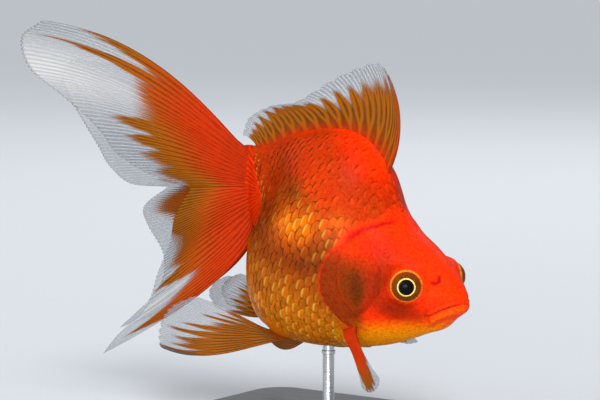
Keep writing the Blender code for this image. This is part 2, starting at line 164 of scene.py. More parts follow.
def capped_rings(grid: Array, poles: Array) -> tuple[Array, list]:
    """A closed solid through rings of points, with a fan over each end.

    Its faces point outwards where each ring runs counterclockwise, seen from the last ring
    towards the first.

    Args:
        grid: the rings, (rings, sides, 3).
        poles: the middles of the two ends, (2, 3).

    Returns:
        The points, with the poles last, and the faces.
    """
    rings, sides = grid.shape[:2]
    index = np.arange(rings * sides).reshape(rings, sides)
    after = np.roll(index, -1, axis=1)
    ends = np.concatenate((
        np.stack((np.full(sides, rings * sides), after[0], index[0]), -1),
        np.stack((np.full(sides, rings * sides + 1), index[-1], after[-1]), -1),
    ))
    points = np.concatenate((grid.reshape(-1, 3), poles))
    return points, [grid_quads(index, wrap=True)[:, ::-1], ends]


def two_faces(columns: int, rows: int) -> tuple[Array, Array, Array]:
    """Vertex numbers of a thin sheet's two faces, which share its rim.

    Args:
        columns: columns of the sheet's grid.
        rows: its rows.

    Returns:
        The front's and the back's numbers, and where the back has vertices of its own.
    """
    inner = np.zeros((columns, rows), bool)
    inner[1:-1, 1:-1] = True
    front = np.arange(columns * rows).reshape(columns, rows)
    back = front.copy()
    back[inner] = columns * rows + np.arange(inner.sum())
    return front, back, inner


def new_piece(
    name: str, points: Array, faces: list, material: bpy.types.Material,
    uvs: dict | None = None, masks: dict | None = None,
) -> bpy.types.Object:
    """A smooth-shaded mesh object at the origin, with its maps and masks.

    Args:
        name: the piece's name.
        points: vertices in metres, (n, 3).
        faces: arrays of vertex numbers, one array for each number of corners.
        material: the finish.
        uvs: UV map names with the (n, 2) places of the vertices.
        masks: attribute names with (n, 4) values.

    Returns:
        The object.
    """
    mesh = bpy.data.meshes.new(name)
    mesh.vertices.add(len(points))
    mesh.vertices.foreach_set("co", np.asarray(points, np.float32).ravel())
    corners = np.concatenate([np.asarray(face).ravel() for face in faces]).astype(np.int32)
    sides = np.concatenate([np.full(len(face), face.shape[1]) for face in faces])
    mesh.loops.add(len(corners))
    mesh.loops.foreach_set("vertex_index", corners)
    mesh.polygons.add(len(sides))
    mesh.polygons.foreach_set("loop_start", (np.cumsum(sides) - sides).astype(np.int32))
    mesh.update(calc_edges=True)
    mesh.shade_smooth()
    for title, places in (uvs or {}).items():
        layer = mesh.uv_layers.new(name=title)
        layer.data.foreach_set("uv", np.asarray(places, np.float32)[corners].ravel())
    for title, values in (masks or {}).items():
        attribute = mesh.attributes.new(title, "FLOAT_COLOR", "POINT")
        attribute.data.foreach_set("color", np.asarray(values, np.float32).ravel())
    mesh.materials.append(material)
    piece = bpy.data.objects.new(name, mesh)
    bpy.context.scene.collection.objects.link(piece)
    return piece


def place(piece: bpy.types.Object, slot: str, *nodes: str) -> bpy.types.Object:
    """Ride a piece on the body, hide the nodes it stands for, and report it with them.

    Args:
        piece: the piece.
        slot: not used.
        nodes: the nodes that it stands for, if any.

    Returns:
        The piece.
    """
    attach(piece, "root")
    if nodes:
        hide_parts(*nodes)
    LOG.info("%s: %d faces for %s", piece.name, len(piece.data.polygons), list(nodes))
    return piece


# ---------------------------------------------------------------- materials

# Nodes that return often. A Map Range node takes its value as input 0, that value's range as 1
# and 2, and the result's range as 3 and 4. A Mix node on colours takes its share as input 0 and
# the colours under and over as 6 and 7, and gives the mix as its output 2.
PER_MM = 1000.0
NOISY = {1: 0.3, 2: 0.7}
EASED = {"interpolation_type": "SMOOTHSTEP"}
MIX = {"data_type": "RGBA"}
TINT = {"data_type": "RGBA", "blend_type": "MULTIPLY", 0: 1.0}
MIXED = 2


def linear(code: str) -> tuple[float, float, float, float]:
    """Linear RGBA of an sRGB hex colour such as "fb3800".

    Args:
        code: six hex digits.

    Returns:
        Red, green, blue and alpha from 0 to 1.
    """
    values = [int(code[i:i + 2], 16) / 255 for i in (0, 2, 4)]
    decoded = [v / 12.92 if v <= 0.04045 else ((v + 0.055) / 1.055) ** 2.4 for v in values]
    return (*decoded, 1.0)


def add(tree: Tree, kind: str, inputs: dict) -> bpy.types.bpy_prop_collection:
    """Add a node with its settings and links.

    Args:
        tree: the material's node tree.
        kind: the node's type name, without its ShaderNode prefix.
        inputs: settings by property name, the stops of a colour ramp, and by an input's number
            or name its value or the socket that feeds it.

    Returns:
        The node's output sockets.
    """
    node = tree.nodes.new("ShaderNode" + kind)
    for key, value in inputs.items():
        if isinstance(key, str) and hasattr(node, key):
            setattr(node, key, value)
        elif key == "stops":
            ramp = node.color_ramp.elements
            for k, (position, colour) in enumerate(value):
                stop = ramp[k] if k < 2 else ramp.new(position)
                stop.position = position
                stop.color = colour
        elif isinstance(value, Socket):
            tree.links.new(value, node.inputs[key])
        else:
            node.inputs[key].default_value = value
    return node.outputs


def start_material(name: str) -> tuple[bpy.types.Material, Tree]:
    """A new material with an empty node tree.

    Args:
        name: the material's name.

    Returns:
        The material and its node tree.
    """
    material = bpy.data.materials.new(name)
    material.use_nodes = True
    material.node_tree.nodes.clear()
    return material, material.node_tree


def end_material(tree: Tree, inputs: dict) -> None:
    """Give the material its shader, and join it to the output."""
    add(tree, "OutputMaterial", {"Surface": add(tree, "BsdfPrincipled", inputs)[0]})


@dataclass(frozen=True)
class CoatColours:
    """Colours of a goldfish's coat, mixed by the four shares of the "markings" attribute.

    Carotenoid red-orange lies over reflecting guanine: where the guanine shows, it turns gold,
    and where the orange lies thin over muscle, it turns brown.
    """

    vivid: str = "f63503"
    red: str = "b00e02"
    brown: str = "743004"
    gold: str = "f0960a"
    # dark of the patch behind the gill, and of painted shade in grooves, slits, folds and shaded places
    dark_and_shade: str = "342008"
    mottle_mm: float = 2.4
    mottle: float = 0.16

    def mixed(self, tree: Tree, place_in: Socket) -> Socket:
        """Colour socket of the coat: vivid, then red, brown, gold and dusk laid over it.

        The dark colour is both dark pigment and painted shade. A mottling noise shifts each share, by
        most where the share is a half.

        Args:
            tree: the material's node tree.
            place_in: Object coordinates.

        Returns:
            The socket.
        """
        marks = add(tree, "Attribute", {"attribute_name": "markings"})
        gold, brown, red = add(tree, "SeparateColor", {0: marks["Color"]})
        scale = PER_MM / self.mottle_mm
        noise = add(tree, "TexNoise", {"Scale": scale, "Detail": 5.0, "Vector": place_in})["Fac"]
        shift = add(tree, "MapRange", {**NOISY, 0: noise, 3: -self.mottle, 4: self.mottle})[0]
        colour = linear(self.vivid)
        layers = ((red, self.red), (brown, self.brown), (gold, self.gold), (marks["Alpha"], self.dark_and_shade))
        for share, over in layers:
            square = add(tree, "Math", {"operation": "MULTIPLY", 0: share, 1: share})[0]
            rest = add(tree, "Math", {"operation": "SUBTRACT", 0: share, 1: square})[0]
            shifted = {"operation": "MULTIPLY_ADD", "use_clamp": True, 0: rest, 1: shift, 2: share}
            patchy = add(tree, "Math", shifted)[0]
            colour = add(tree, "Mix", {**MIX, 0: patchy, 6: colour, 7: linear(over)})[MIXED]
        return colour


@dataclass(frozen=True)
class SkinFinish:
    """Scaleless goldfish skin: soft dermis under clear slime, with a grain of tiny pigment cells.

    It gives the eye a saturated colour with a soft, wet highlight and almost no white glare. The
    cells are a tenth of a millimetre across, so they are drawn as clusters, as coarse as shows.
    """

    colours: CoatColours = CoatColours()
    cell: str = "e08a8a"
    grain_mm: float = 0.9
    pore_mm: float = 0.45

    def build(self) -> bpy.types.Material:
        """The material."""
        material, tree = start_material("goldfish_skin_wet_dermis")
        place_in = add(tree, "TexCoord", {})["Object"]
        colour = self.colours.mixed(tree, place_in)
        scale = PER_MM / self.grain_mm
        grain = add(tree, "TexNoise", {"Scale": scale, "Detail": 3.0, "Vector": place_in})["Fac"]
        scale = PER_MM / self.pore_mm
        pores = add(tree, "TexNoise", {"Scale": scale, "Detail": 2.0, "Vector": place_in})["Fac"]
        cells = add(tree, "MapRange", {0: grain, 1: 0.42, 2: 0.68, 3: 0.0, 4: 0.75})[0]
        dotted = add(tree, "Mix", {**TINT, 6: colour, 7: linear(self.cell)})[MIXED]
        coarse = add(tree, "Bump", {"Strength": 0.30, "Distance": 0.14 * MM, "Height": grain})[0]
        fine = {"Strength": 0.22, "Distance": 0.08 * MM, "Height": pores, "Normal": coarse}
        end_material(tree, {
            "Base Color": add(tree, "Mix", {**MIX, 0: cells, 6: colour, 7: dotted})[MIXED],
            "Roughness": add(tree, "MapRange", {**NOISY, 0: grain, 3: 0.38, 4: 0.54})[0],
            "Normal": add(tree, "Bump", fine)[0], "IOR": 1.34, "Specular IOR Level": 0.06,
            "Coat Weight": 0.02, "Coat Roughness": 0.20, "Coat IOR": 1.33,
            "Subsurface Weight": 0.05, "Subsurface Scale": 0.002,
        })
        return material


@dataclass(frozen=True)
class ScaleFinish:
    """Elasmoid scale: a clear bony plate, ringed and rayed, over a mirror of guanine crystals.

    Its rim gets a painted highlight, a gold crescent for the light it catches, on some scales far
    more than others. The "scale" attribute holds each scale's own number, the share from root to
    tip, the share across, and how metallic its place on the fish is. The growth rings are finer on
    a real scale, and are drawn as coarse as shows.
    """

    colours: CoatColours = CoatColours()
    # colour of the painted highlight along the rims of the shining scales
    rim: str = "ffbe46"
    dull: float = 0.62
    bright: float = 1.26
    ring_mm: float = 0.30
    streak_mm: float = 1.1
    grain_mm: float = 0.8
    lean: float = radians(-20)
    least_shade: float = 0.62
    most_metal: float = 0.5

    def build(self) -> bpy.types.Material:
        """The material."""
        material, tree = start_material("goldfish_scale_guanine")
        place_in = add(tree, "TexCoord", {})["Object"]
        own = add(tree, "Attribute", {"attribute_name": "scale"})
        luck, along, across = add(tree, "SeparateColor", {0: own["Color"]})
        mirror = own["Alpha"]
        shining = {**EASED, 0: luck, 1: 0.25, 2: 0.95}
        lucky = add(tree, "MapRange", shining)[0]
        metal = add(tree, "Math", {"operation": "MULTIPLY", 0: mirror, 1: lucky})[0]
        metal = add(tree, "Math", {"operation": "MULTIPLY", 0: metal, 1: self.most_metal})[0]
        scale = PER_MM / self.grain_mm
        grain = add(tree, "TexNoise", {"Scale": scale, "Detail": 3.0, "Vector": place_in})["Fac"]
        rings = self.rings(tree, along, across)
        fine = add(tree, "Bump", {"Strength": 0.20, "Distance": 0.06 * MM, "Height": rings})[0]
        relief = {"Strength": 0.25, "Distance": 0.12 * MM, "Height": grain, "Normal": fine}
        end_material(tree, {
            "Base Color": self.colour(tree, place_in, luck, along, mirror, lucky),
            "Metallic": metal, "Normal": add(tree, "Bump", relief)[0],
            "IOR": 1.36, "Specular IOR Level": 0.07, "Roughness": 0.42, "Coat Weight": 0.02,
            "Coat Roughness": 0.20, "Coat IOR": 1.33,
        })
        return material

    def colour(
        self, tree: Tree, place_in: Socket, luck: Socket, along: Socket, mirror: Socket, lucky: Socket,
    ) -> Socket:
        """Colour socket of the scales.

        The coat's colour is toned by each scale's own number, streaked, given painted shade at the
        root, where the scale ahead covers it, and given a painted highlight along the rim.

        Args:
            tree: the material's node tree.
            place_in: Object coordinates.
            luck: the scale's own number.
            along: the share from root to tip.
            mirror: how metallic the place is.
            lucky: how far this scale is one of the shining ones.

        Returns:
            The socket.
        """
        colour = self.colours.mixed(tree, place_in)
        tone = add(tree, "MapRange", {0: luck, 3: self.dull, 4: self.bright})[0]
        toned = add(tree, "Mix", {**TINT, 6: colour, 7: tone})[MIXED]
        colour = add(tree, "Mix", {**MIX, 0: mirror, 6: colour, 7: toned})[MIXED]
        streaks = self.streaks(tree, place_in)
        streak = add(tree, "MapRange", {0: streaks, 1: 0.36, 2: 0.64, 3: 0.80, 4: 1.18})[0]
        colour = add(tree, "Mix", {**TINT, 6: colour, 7: streak})[MIXED]
        shade = add(tree, "MapRange", {0: along, 1: 0.40, 2: 0.76, 3: 0.80, 4: 1.06})[0]
        shaded = add(tree, "Mix", {**TINT, 6: colour, 7: shade})[MIXED]
        shown = add(tree, "Math", {"operation": "MAXIMUM", 0: mirror, 1: self.least_shade})[0]
        colour = add(tree, "Mix", {**MIX, 0: shown, 6: colour, 7: shaded})[MIXED]
        # painted highlight: a gold crescent along the rim of the shining scales in the metallic places
        crescent = add(tree, "MapRange", {**EASED, 0: along, 1: 0.76, 2: 0.94})[0]
        light = add(tree, "Math", {"operation": "MULTIPLY", 0: crescent, 1: mirror})[0]
        gleaming = {"operation": "MULTIPLY", "use_clamp": True, 0: light, 1: lucky}
        gleam = add(tree, "Math", gleaming)[0]
        return add(tree, "Mix", {**MIX, 0: gleam, 6: colour, 7: linear(self.rim)})[MIXED]

    def streaks(self, tree: Tree, place_in: Socket) -> Socket:
        """Noise socket drawn out upright, like the fine flecks of pigment round each scale's rim.

        Args:
            tree: the material's node tree.
            place_in: Object coordinates.

        Returns:
            The socket.
        """
        leaned = add(tree, "Mapping", {"Rotation": (0.0, self.lean, 0.0), 0: place_in})[0]
        drawn = add(tree, "VectorMath", {"operation": "MULTIPLY", 0: leaned, 1: (1.0, 1.0, 0.30)})[0]
        scale = PER_MM / self.streak_mm
        return add(tree, "TexNoise", {"Scale": scale, "Detail": 3.0, "Vector": drawn})["Fac"]

    def rings(self, tree: Tree, along: Socket, across: Socket) -> Socket:
        """Height socket of the growth rings, waves of the distance from the scale's root.

        Args:
            tree: the material's node tree.
            along: the share from a scale's root to its tip.
            across: the share across it.

        Returns:
            The socket.
        """
        both = add(tree, "CombineXYZ", {0: along, 1: across})[0]
        count = 4.0 / self.ring_mm / 6.0
        place_in = add(tree, "VectorMath", {"operation": "SCALE", "Scale": count, 0: both})[0]
        return add(tree, "TexWave", {
            "wave_type": "RINGS", "rings_direction": "SPHERICAL", "Scale": 1.0,
            "Distortion": 1.2, "Detail": 1.0, "Vector": place_in,
        })["Fac"]


# Where the rays fork for the first and second time, as shares of the fin's length, and the
# rays' half width at two such shares, as a share of the gap between main rays.
FORKS = ((0.06, 0.32), (0.34, 0.68))
RAY_WIDTHS = ((0.0, 0.90), (0.24, 0.060))


@dataclass(frozen=True)
class FinFinish:
    """Fin web: a clear skin between horny rays that fork towards the edge.

    Pigment fills the web near the root, and the rest is like wet grey-white film with pale
    lines, with white patches of painted highlight. The map "fin" counts main rays across and the
    share from root to edge. The "web" attribute holds the pigment, how red it is, the white of
    painted highlight, and black.
    """

    red: str = "b02b03"
    red_web: str = "9a2502"
    amber: str = "8c4c06"
    amber_web: str = "5e3506"
    clear: str = "74797f"
    clear_ray: str = "a6a9ae"
    # colour of the painted highlight on the clear film
    white: str = "d2cfc9"
    black: str = "1c1a18"
    film: float = 0.34
    film_ray: float = 0.56
    amber_film: float = 0.90
    amber_film_ray: float = 0.97
    # how far the painted highlight hides what is behind the film
    highlight_cover: float = 0.42
    ray_lead: float = 0.14
    mottle_mm: float = 2.2

    def ray(self, tree: Tree) -> Socket:
        """Socket of nearness to a ray, from 0 to 1.

        The distance to the nearest ray is folded about each fork: it starts as the distance to
        the main ray, and each fork takes the distance to the two branches it opens.

        Args:
            tree: the material's node tree.

        Returns:
            The socket.
        """
        u, v = add(tree, "SeparateXYZ", {0: add(tree, "UVMap", {"uv_map": "fin"})[0]})[:2]
        part = add(tree, "Math", {"operation": "FRACT", 0: u})[0]
        centred = add(tree, "Math", {"operation": "SUBTRACT", 0: part, 1: 0.5})[0]
        distance = add(tree, "Math", {"operation": "ABSOLUTE", 0: centred})[0]
        for level, (start, end) in enumerate(FORKS):
            opening = add(tree, "MapRange", {**EASED, 0: v, 1: start, 2: end, 4: 0.25 / 2**level})[0]
            moved = add(tree, "Math", {"operation": "SUBTRACT", 0: distance, 1: opening})[0]
            distance = add(tree, "Math", {"operation": "ABSOLUTE", 0: moved})[0]
        (low, high), (wide, narrow) = RAY_WIDTHS
        width = add(tree, "MapRange", {0: v, 1: low, 2: high, 3: wide, 4: narrow})[0]
        share = add(tree, "Math", {"operation": "DIVIDE", 0: distance, 1: width})[0]
        return add(tree, "MapRange", {**EASED, 0: share, 1: 0.35, 2: 1.25, 3: 1.0, 4: 0.0})[0]

    def build(self) -> bpy.types.Material:
        """The material."""
        material, tree = start_material("goldfish_fin_web_and_rays")
        place_in = add(tree, "TexCoord", {})["Object"]
        near = self.ray(tree)
        web = add(tree, "Attribute", {"attribute_name": "web"})
        pigment, redness, white = add(tree, "SeparateColor", {0: web["Color"]})
        black = web["Alpha"]
        lead = add(tree, "MapRange", {0: near, 3: -self.ray_lead, 4: self.ray_lead})[0]
        pushed = add(tree, "Math", {"operation": "ADD", 0: pigment, 1: lead})[0]
        pigment = add(tree, "MapRange", {**EASED, 0: pushed, 1: 0.22, 2: 0.78})[0]
        orange = self.orange(tree, place_in, near, redness)
        # painted highlight: white patches on the clear film
        bare = {**MIX, 0: white, 6: linear(self.clear), 7: linear(self.white)}
        bare = add(tree, "Mix", bare)[MIXED]
        film = add(tree, "Mix", {**MIX, 0: near, 6: bare, 7: linear(self.clear_ray)})[MIXED]
        colour = add(tree, "Mix", {**MIX, 0: pigment, 6: film, 7: orange})[MIXED]
        alpha = self.cover(tree, near, pigment, redness, white)
        end_material(tree, {
            "Base Color": add(tree, "Mix", {**MIX, 0: black, 6: colour, 7: linear(self.black)})[MIXED],
            "Alpha": add(tree, "Math", {"operation": "MAXIMUM", 0: alpha, 1: black})[0],
            "Normal": add(tree, "Bump", {"Strength": 0.5, "Distance": 0.16 * MM, "Height": near})[0],
            "Roughness": 0.50, "IOR": 1.34, "Specular IOR Level": 0.08,
        })
        return material

    def orange(self, tree: Tree, place_in: Socket, near: Socket, redness: Socket) -> Socket:
        """Colour socket of the pigmented fin: amber to red, brighter on the rays, mottled between.

        Args:
            tree: the material's node tree.
            place_in: Object coordinates.
            near: nearness to a ray.
            redness: how red the pigment is.

        Returns:
            The socket.
        """
        rays = {**MIX, 0: redness, 6: linear(self.amber), 7: linear(self.red)}
        between = {**MIX, 0: redness, 6: linear(self.amber_web), 7: linear(self.red_web)}
        rays, between = (add(tree, "Mix", inputs)[MIXED] for inputs in (rays, between))
        scale = PER_MM / self.mottle_mm
        noise = add(tree, "TexNoise", {"Scale": scale, "Detail": 4.0, "Vector": place_in})["Fac"]
        mottle = add(tree, "MapRange", {**NOISY, 0: noise, 3: 0.80, 4: 1.25})[0]
        between = add(tree, "Mix", {**TINT, 6: between, 7: mottle})[MIXED]
        return add(tree, "Mix", {**MIX, 0: near, 6: between, 7: rays})[MIXED]

    def cover(
        self, tree: Tree, near: Socket, pigment: Socket, redness: Socket, white: Socket,
    ) -> Socket:
        """Socket of how far the fin hides what is behind it: more in red, in white and on rays.

        Args:
            tree: the material's node tree.
            near: nearness to a ray.
            pigment: share of pigment.
            redness: how red the pigment is.
            white: share of the painted highlight's white.

        Returns:
            The socket.
        """
        thin = add(tree, "MapRange", {0: near, 3: self.film, 4: self.film_ray})[0]
        # the painted highlight hides more of what is behind the film
        highlight_hides = add(tree, "Math", {"operation": "MULTIPLY", 0: white, 1: self.highlight_cover})[0]
        clear = add(tree, "Math", {"operation": "MAXIMUM", 0: thin, 1: highlight_hides})[0]
        amber = add(tree, "MapRange", {0: near, 3: self.amber_film, 4: self.amber_film_ray})[0]
        filled = add(tree, "Mix", {0: redness, 2: amber, 3: 1.0})[0]
        return add(tree, "Mix", {0: pigment, 2: clear, 3: filled})[0]


@dataclass(frozen=True)
class EyeFinish:
    """Glass eye: clear polished glass over a painted iris, the way a taxidermist's eye is made.

    It gives a deep black pupil in a bright ring, under a small sharp highlight. The map "eye"
    holds the place across the iris, in half widths of the visible ball.
    """

    pupil: str = "050404"
    ring: str = "f2cf6a"
    iris_inner: str = "5c3203"
    iris_outer: str = "7a2c02"
    rim: str = "dc7c1c"
    pupil_share: float = 0.45
    streaks: float = 70.0

    def build(self) -> bpy.types.Material:
        """The material."""
        material, tree = start_material("glass_eye_painted_iris")
        spot = add(tree, "UVMap", {"uv_map": "eye"})[0]
        distance = add(tree, "VectorMath", {"operation": "LENGTH", 0: spot})["Value"]
        p = self.pupil_share
        stops = [
            (0.0, linear(self.pupil)), (p - 0.015, linear(self.pupil)),
            (p + 0.005, linear(self.ring)), (p + 0.045, linear(self.ring)),
            (p + 0.08, linear(self.iris_inner)), (0.84, linear(self.iris_outer)),
            (0.90, linear(self.rim)), (1.0, linear(self.rim)),
        ]
        rings = add(tree, "ValToRGB", {"stops": stops, 0: distance})[0]
        streak = self.streak(tree, spot, distance)
        light = add(tree, "MapRange", {0: streak, 1: 0.32, 2: 0.68, 3: 0.55, 4: 1.5})[0]
        end_material(tree, {
            "Base Color": add(tree, "Mix", {**TINT, 6: rings, 7: light})[MIXED],
            "Roughness": 0.5, "IOR": 1.4, "Specular IOR Level": 0.06, "Coat Weight": 0.09,
            "Coat Roughness": 0.03, "Coat IOR": 1.40,
        })
        return material

    def streak(self, tree: Tree, spot: Socket, distance: Socket) -> Socket:
        """Noise socket drawn out along the iris's radius, read at the angle and the distance.

        Args:
            tree: the material's node tree.
            spot: the place across the iris.
            distance: its distance from the middle.

        Returns:
            The socket.
        """
        x, y = add(tree, "SeparateXYZ", {0: spot})[:2]
        angle = add(tree, "Math", {"operation": "ARCTAN2", 0: y, 1: x})[0]
        polar = add(tree, "CombineXYZ", {0: angle, 1: distance})[0]
        drawing = {"operation": "MULTIPLY", 0: polar, 1: (self.streaks / 6.0, 1.2, 1.0)}
        drawn = add(tree, "VectorMath", drawing)[0]
        return add(tree, "TexNoise", {"Scale": 1.0, "Detail": 4.0, 0: drawn})["Fac"]


@dataclass(frozen=True)
class LacquerFinish:
    """Lacquered beech: wood stained black under a rubbed satin lacquer, with the pores just felt.

    It gives a deep black with a soft broad highlight and faint long grain. Beech's pores are
    under a tenth of a millimetre wide, so they are drawn ten times as wide, as coarse as shows.
    """

    black: str = "0f0e0d"
    worn: str = "2b2622"
    pore_mm: float = 1.0
    along_grain: float = 0.06

    def build(self) -> bpy.types.Material:
        """The material."""
        material, tree = start_material("lacquered_beech_black")
        place_in = add(tree, "TexCoord", {})["Object"]
        drawn = add(tree, "Mapping", {"Scale": (self.along_grain, 1.0, 1.0), 0: place_in})[0]
        scale = PER_MM / self.pore_mm
        pores = add(tree, "TexNoise", {"Scale": scale, "Detail": 5.0, 0: drawn})["Fac"]
        share = add(tree, "MapRange", {0: pores, 1: 0.45, 2: 0.75, 3: 0.0, 4: 0.7})[0]
        stain = {**MIX, 0: share, 6: linear(self.black), 7: linear(self.worn)}
        end_material(tree, {
            "Base Color": add(tree, "Mix", stain)[MIXED],
            "Roughness": add(tree, "MapRange", {**NOISY, 0: pores, 3: 0.28, 4: 0.42})[0],
            "Normal": add(tree, "Bump", {"Strength": 0.25, "Distance": 0.05 * MM, "Height": pores})[0],
            "IOR": 1.5, "Coat Weight": 0.5, "Coat Roughness": 0.12,
        })
        return material


@dataclass(frozen=True)
class SteelFinish:
    """Brushed stainless steel rod, turned and polished round with a fine abrasive.

    It gives fine rings round the rod and a highlight drawn out along it. The scratches are
    finer than a tenth of a millimetre, so they are drawn as coarse as shows.
    """

    steel: str = "b9bbbd"
    scratch_mm: float = 0.24
    round_rod: float = 0.08

    def build(self) -> bpy.types.Material:
        """The material."""
        material, tree = start_material("stainless_steel_brushed")
        place_in = add(tree, "TexCoord", {})["Object"]
        stretch = (self.round_rod, self.round_rod, 1.0)
        drawn = add(tree, "Mapping", {"Scale": stretch, 0: place_in})[0]
        scale = PER_MM / self.scratch_mm
        scratch = add(tree, "TexNoise", {"Scale": scale, "Detail": 3.0, 0: drawn})["Fac"]
        light = add(tree, "MapRange", {**NOISY, 0: scratch, 3: 0.86, 4: 1.08})[0]
        end_material(tree, {
            "Base Color": add(tree, "Mix", {**TINT, 6: linear(self.steel), 7: light})[MIXED],
            "Roughness": add(tree, "MapRange", {**NOISY, 0: scratch, 3: 0.22, 4: 0.36})[0],
            "Normal": add(tree, "Bump", {"Strength": 0.2, "Distance": 0.02 * MM, "Height": scratch})[0],
            "Metallic": 1.0,
        })
        return material


@dataclass(frozen=True)
class PaperFinish:
    """Seamless backdrop paper: matt, pale and even, with its fibres just seen."""

    paper: str = "c9cdd1"
    fibre_mm: float = 1.5

    def build(self) -> bpy.types.Material:
        """The material."""
        material, tree = start_material("backdrop_paper_pale")
        place_in = add(tree, "TexCoord", {})["Object"]
        scale = PER_MM / self.fibre_mm
        fibre = add(tree, "TexNoise", {"Scale": scale, "Detail": 4.0, "Vector": place_in})["Fac"]
        light = add(tree, "MapRange", {**NOISY, 0: fibre, 3: 0.985, 4: 1.01})[0]
        colour = add(tree, "Mix", {**TINT, 6: linear(self.paper), 7: light})[MIXED]
        end_material(tree, {"Base Color": colour, "Roughness": 0.9})
        return material


# ---------------------------------------------------------------- the body's shape


@dataclass(frozen=True)
class Pose:
    """Where the fish's own frame lies in the world: pitched nose down, snout ahead of the stand."""

    nose_down: float = radians(20.8)
    snout_ahead: float = 56.0
    snout_height: float = 49.0

    def to_world(self, s: Array, y: Array, h: Array) -> Array:
        """World points in metres: s runs backward and up the pitch, h upward and ahead.

        Args:
            s: distance back.
            y: distance to the left.
            h: height.

        Returns:
            The points.
        """
        s, y, h = np.broadcast_arrays(s, y, h)
        x = self.snout_ahead - s * cos(self.nose_down) + h * sin(self.nose_down)
        z = self.snout_height + s * sin(self.nose_down) + h * cos(self.nose_down)
        return np.stack((x, y, z), -1) * MM

    def direction(self, s: float, y: float, h: float) -> Array:
        """World unit vector of a direction in the fish's frame."""
        return unit(self.to_world(s, y, h) - self.to_world(0.0, 0.0, 0.0))


@dataclass(frozen=True)
class Body:
    """The body as smooth cross-sections along s, each two half superellipses.

    Columns of the stations: s, top, bottom, half width, middle height, roundness of the back
    and of the belly, and how far the section leans back for each millimetre of height.
    """

    pose: Pose = Pose()
    snout_cap: float = 0.4
    root_cap: float = 6.5
    root_fall: float = 0.3
    section_power: float = 0.95
    hollow_s: float = 84.0
    hollow_length: float = 8.0
    hollow_depth: float = 0.38
    hollow_line: float = 70.0
    hollow_blend: float = 7.0
    stations: tuple = (
        (0.0, 0.4, -3.8, 2.0, -1.7, 1.00, 1.00, 0.00),
        (1.5, 2.3, -5.8, 3.6, -1.8, 1.00, 1.00, 0.00),
        (4.0, 4.3, -9.2, 5.8, -2.0, 1.10, 1.00, 0.00),
        (10.0, 7.8, -15.8, 10.6, -2.5, 1.20, 1.00, 0.00),
        (20.0, 11.8, -24.6, 16.2, -5.0, 1.17, 1.00, 0.00),
        (30.0, 15.2, -30.8, 18.6, -8.0, 1.15, 1.00, 0.00),
        (38.0, 20.9, -34.8, 20.0, -10.0, 1.12, 1.00, 0.00),
        (46.0, 29.8, -38.3, 22.3, -11.0, 1.12, 0.95, 0.00),
        (54.0, 34.0, -40.5, 24.5, -11.0, 1.18, 0.90, 0.00),
        (62.0, 34.6, -41.4, 24.5, -11.0, 1.15, 0.90, 0.00),
        (72.0, 31.4, -39.2, 21.0, -10.0, 1.10, 0.90, 0.00),
        (80.0, 25.6, -31.4, 16.0, -7.0, 1.00, 0.95, 0.06),
        (87.0, 17.4, -18.5, 8.6, -1.5, 1.00, 1.00, 0.22),
        (94.0, 12.4, -12.4, 2.8, 0.0, 1.00, 1.00, 0.38),
    )

    @property
    def length(self) -> float:
        """s at the end of the tail stalk."""
        return self.stations[-1][0]

    def point(self, s: Array, turn: Array) -> tuple[Array, Array, Array]:
        """Surface of the body in the fish's frame.

        Each section is h = middle + rise · |cos turn|^power and y = width · |sin turn|^roundness.
        Ahead of the snout it closes as a quarter ellipse, and behind the stalk it narrows like
        one while it keeps most of its height. Above a line that falls backward at 45 degrees the
        flank is drawn in ahead of the tail, by a bell curve along s.

        Args:
            s: station, which may lie in the caps.
            turn: angle round the section, 0 on the back and positive to the left.

        Returns:
            s, y and h of the points.
        """
        table = np.array(self.stations)
        inner = np.clip(s, 0.0, self.length)
        columns = [through(table[:, 0], table[:, k], inner) for k in range(1, table.shape[1])]
        top, bottom, width, middle, back, belly, lean = columns
        front = np.clip(-s / self.snout_cap, 0, 1)
        rear = np.clip((s - self.length) / self.root_cap, 0, 1)
        low = np.sqrt(1 - front**2)
        narrow = low * np.sqrt(1 - rear**2)
        over = np.cos(turn) >= 0
        across = np.abs(np.sin(turn)) ** np.where(over, back, belly)
        rise = np.abs(np.cos(turn)) ** self.section_power
        y = narrow * width * np.sign(np.sin(turn)) * across
        tall = low * (1 - self.root_fall * rear**2)
        h = middle + tall * np.where(over, top - middle, bottom - middle) * rise
        above = smooth(inner + h, self.hollow_line, self.hollow_line + self.hollow_blend)
        y = y * (1 - self.hollow_depth * bell(inner - self.hollow_s, self.hollow_length) * above)
        return s + lean * (h - middle), y, h

    def world(self, s: Array, turn: Array) -> Array:
        """World points of the surface."""
        return self.pose.to_world(*self.point(s, turn))

    def lifted(self, s: Array, turn: Array, lift: Array) -> Array:
        """World points on the body, lifted along its normal by millimetres.

        The normal is the cross product of a small step back and a small step round.

        Args:
            s: stations.
            turn: turns round the section.
            lift: how far out, in millimetres.

        Returns:
            The points.
        """
        step = 1e-3
        here = self.world(s, turn)
        normal = unit(np.cross(self.world(s + step, turn) - here, self.world(s, turn + step) - here))
        outward = np.sign(normal[..., 1:2] * np.sin(turn)[..., None] + 1e-9)
        return here + normal * outward * np.asarray(lift)[..., None] * MM


@dataclass(frozen=True)
class Spot:
    """A soft spot on the fish's side: a bell curve of the distance from a place.

    Attributes:
        s, h: its middle.
        width: the distance at which it has fallen to 1/e.
        long, tall: how many times it is drawn out along s and along h.
    """

    s: float
    h: float
    width: float
    long: float = 1.0
    tall: float = 1.0

    def at(self, s: Array, h: Array) -> Array:
        """Strength of the spot at places on the side, 1 in its middle."""
        return bell(np.hypot((s - self.s) / self.long, (h - self.h) / self.tall), self.width)


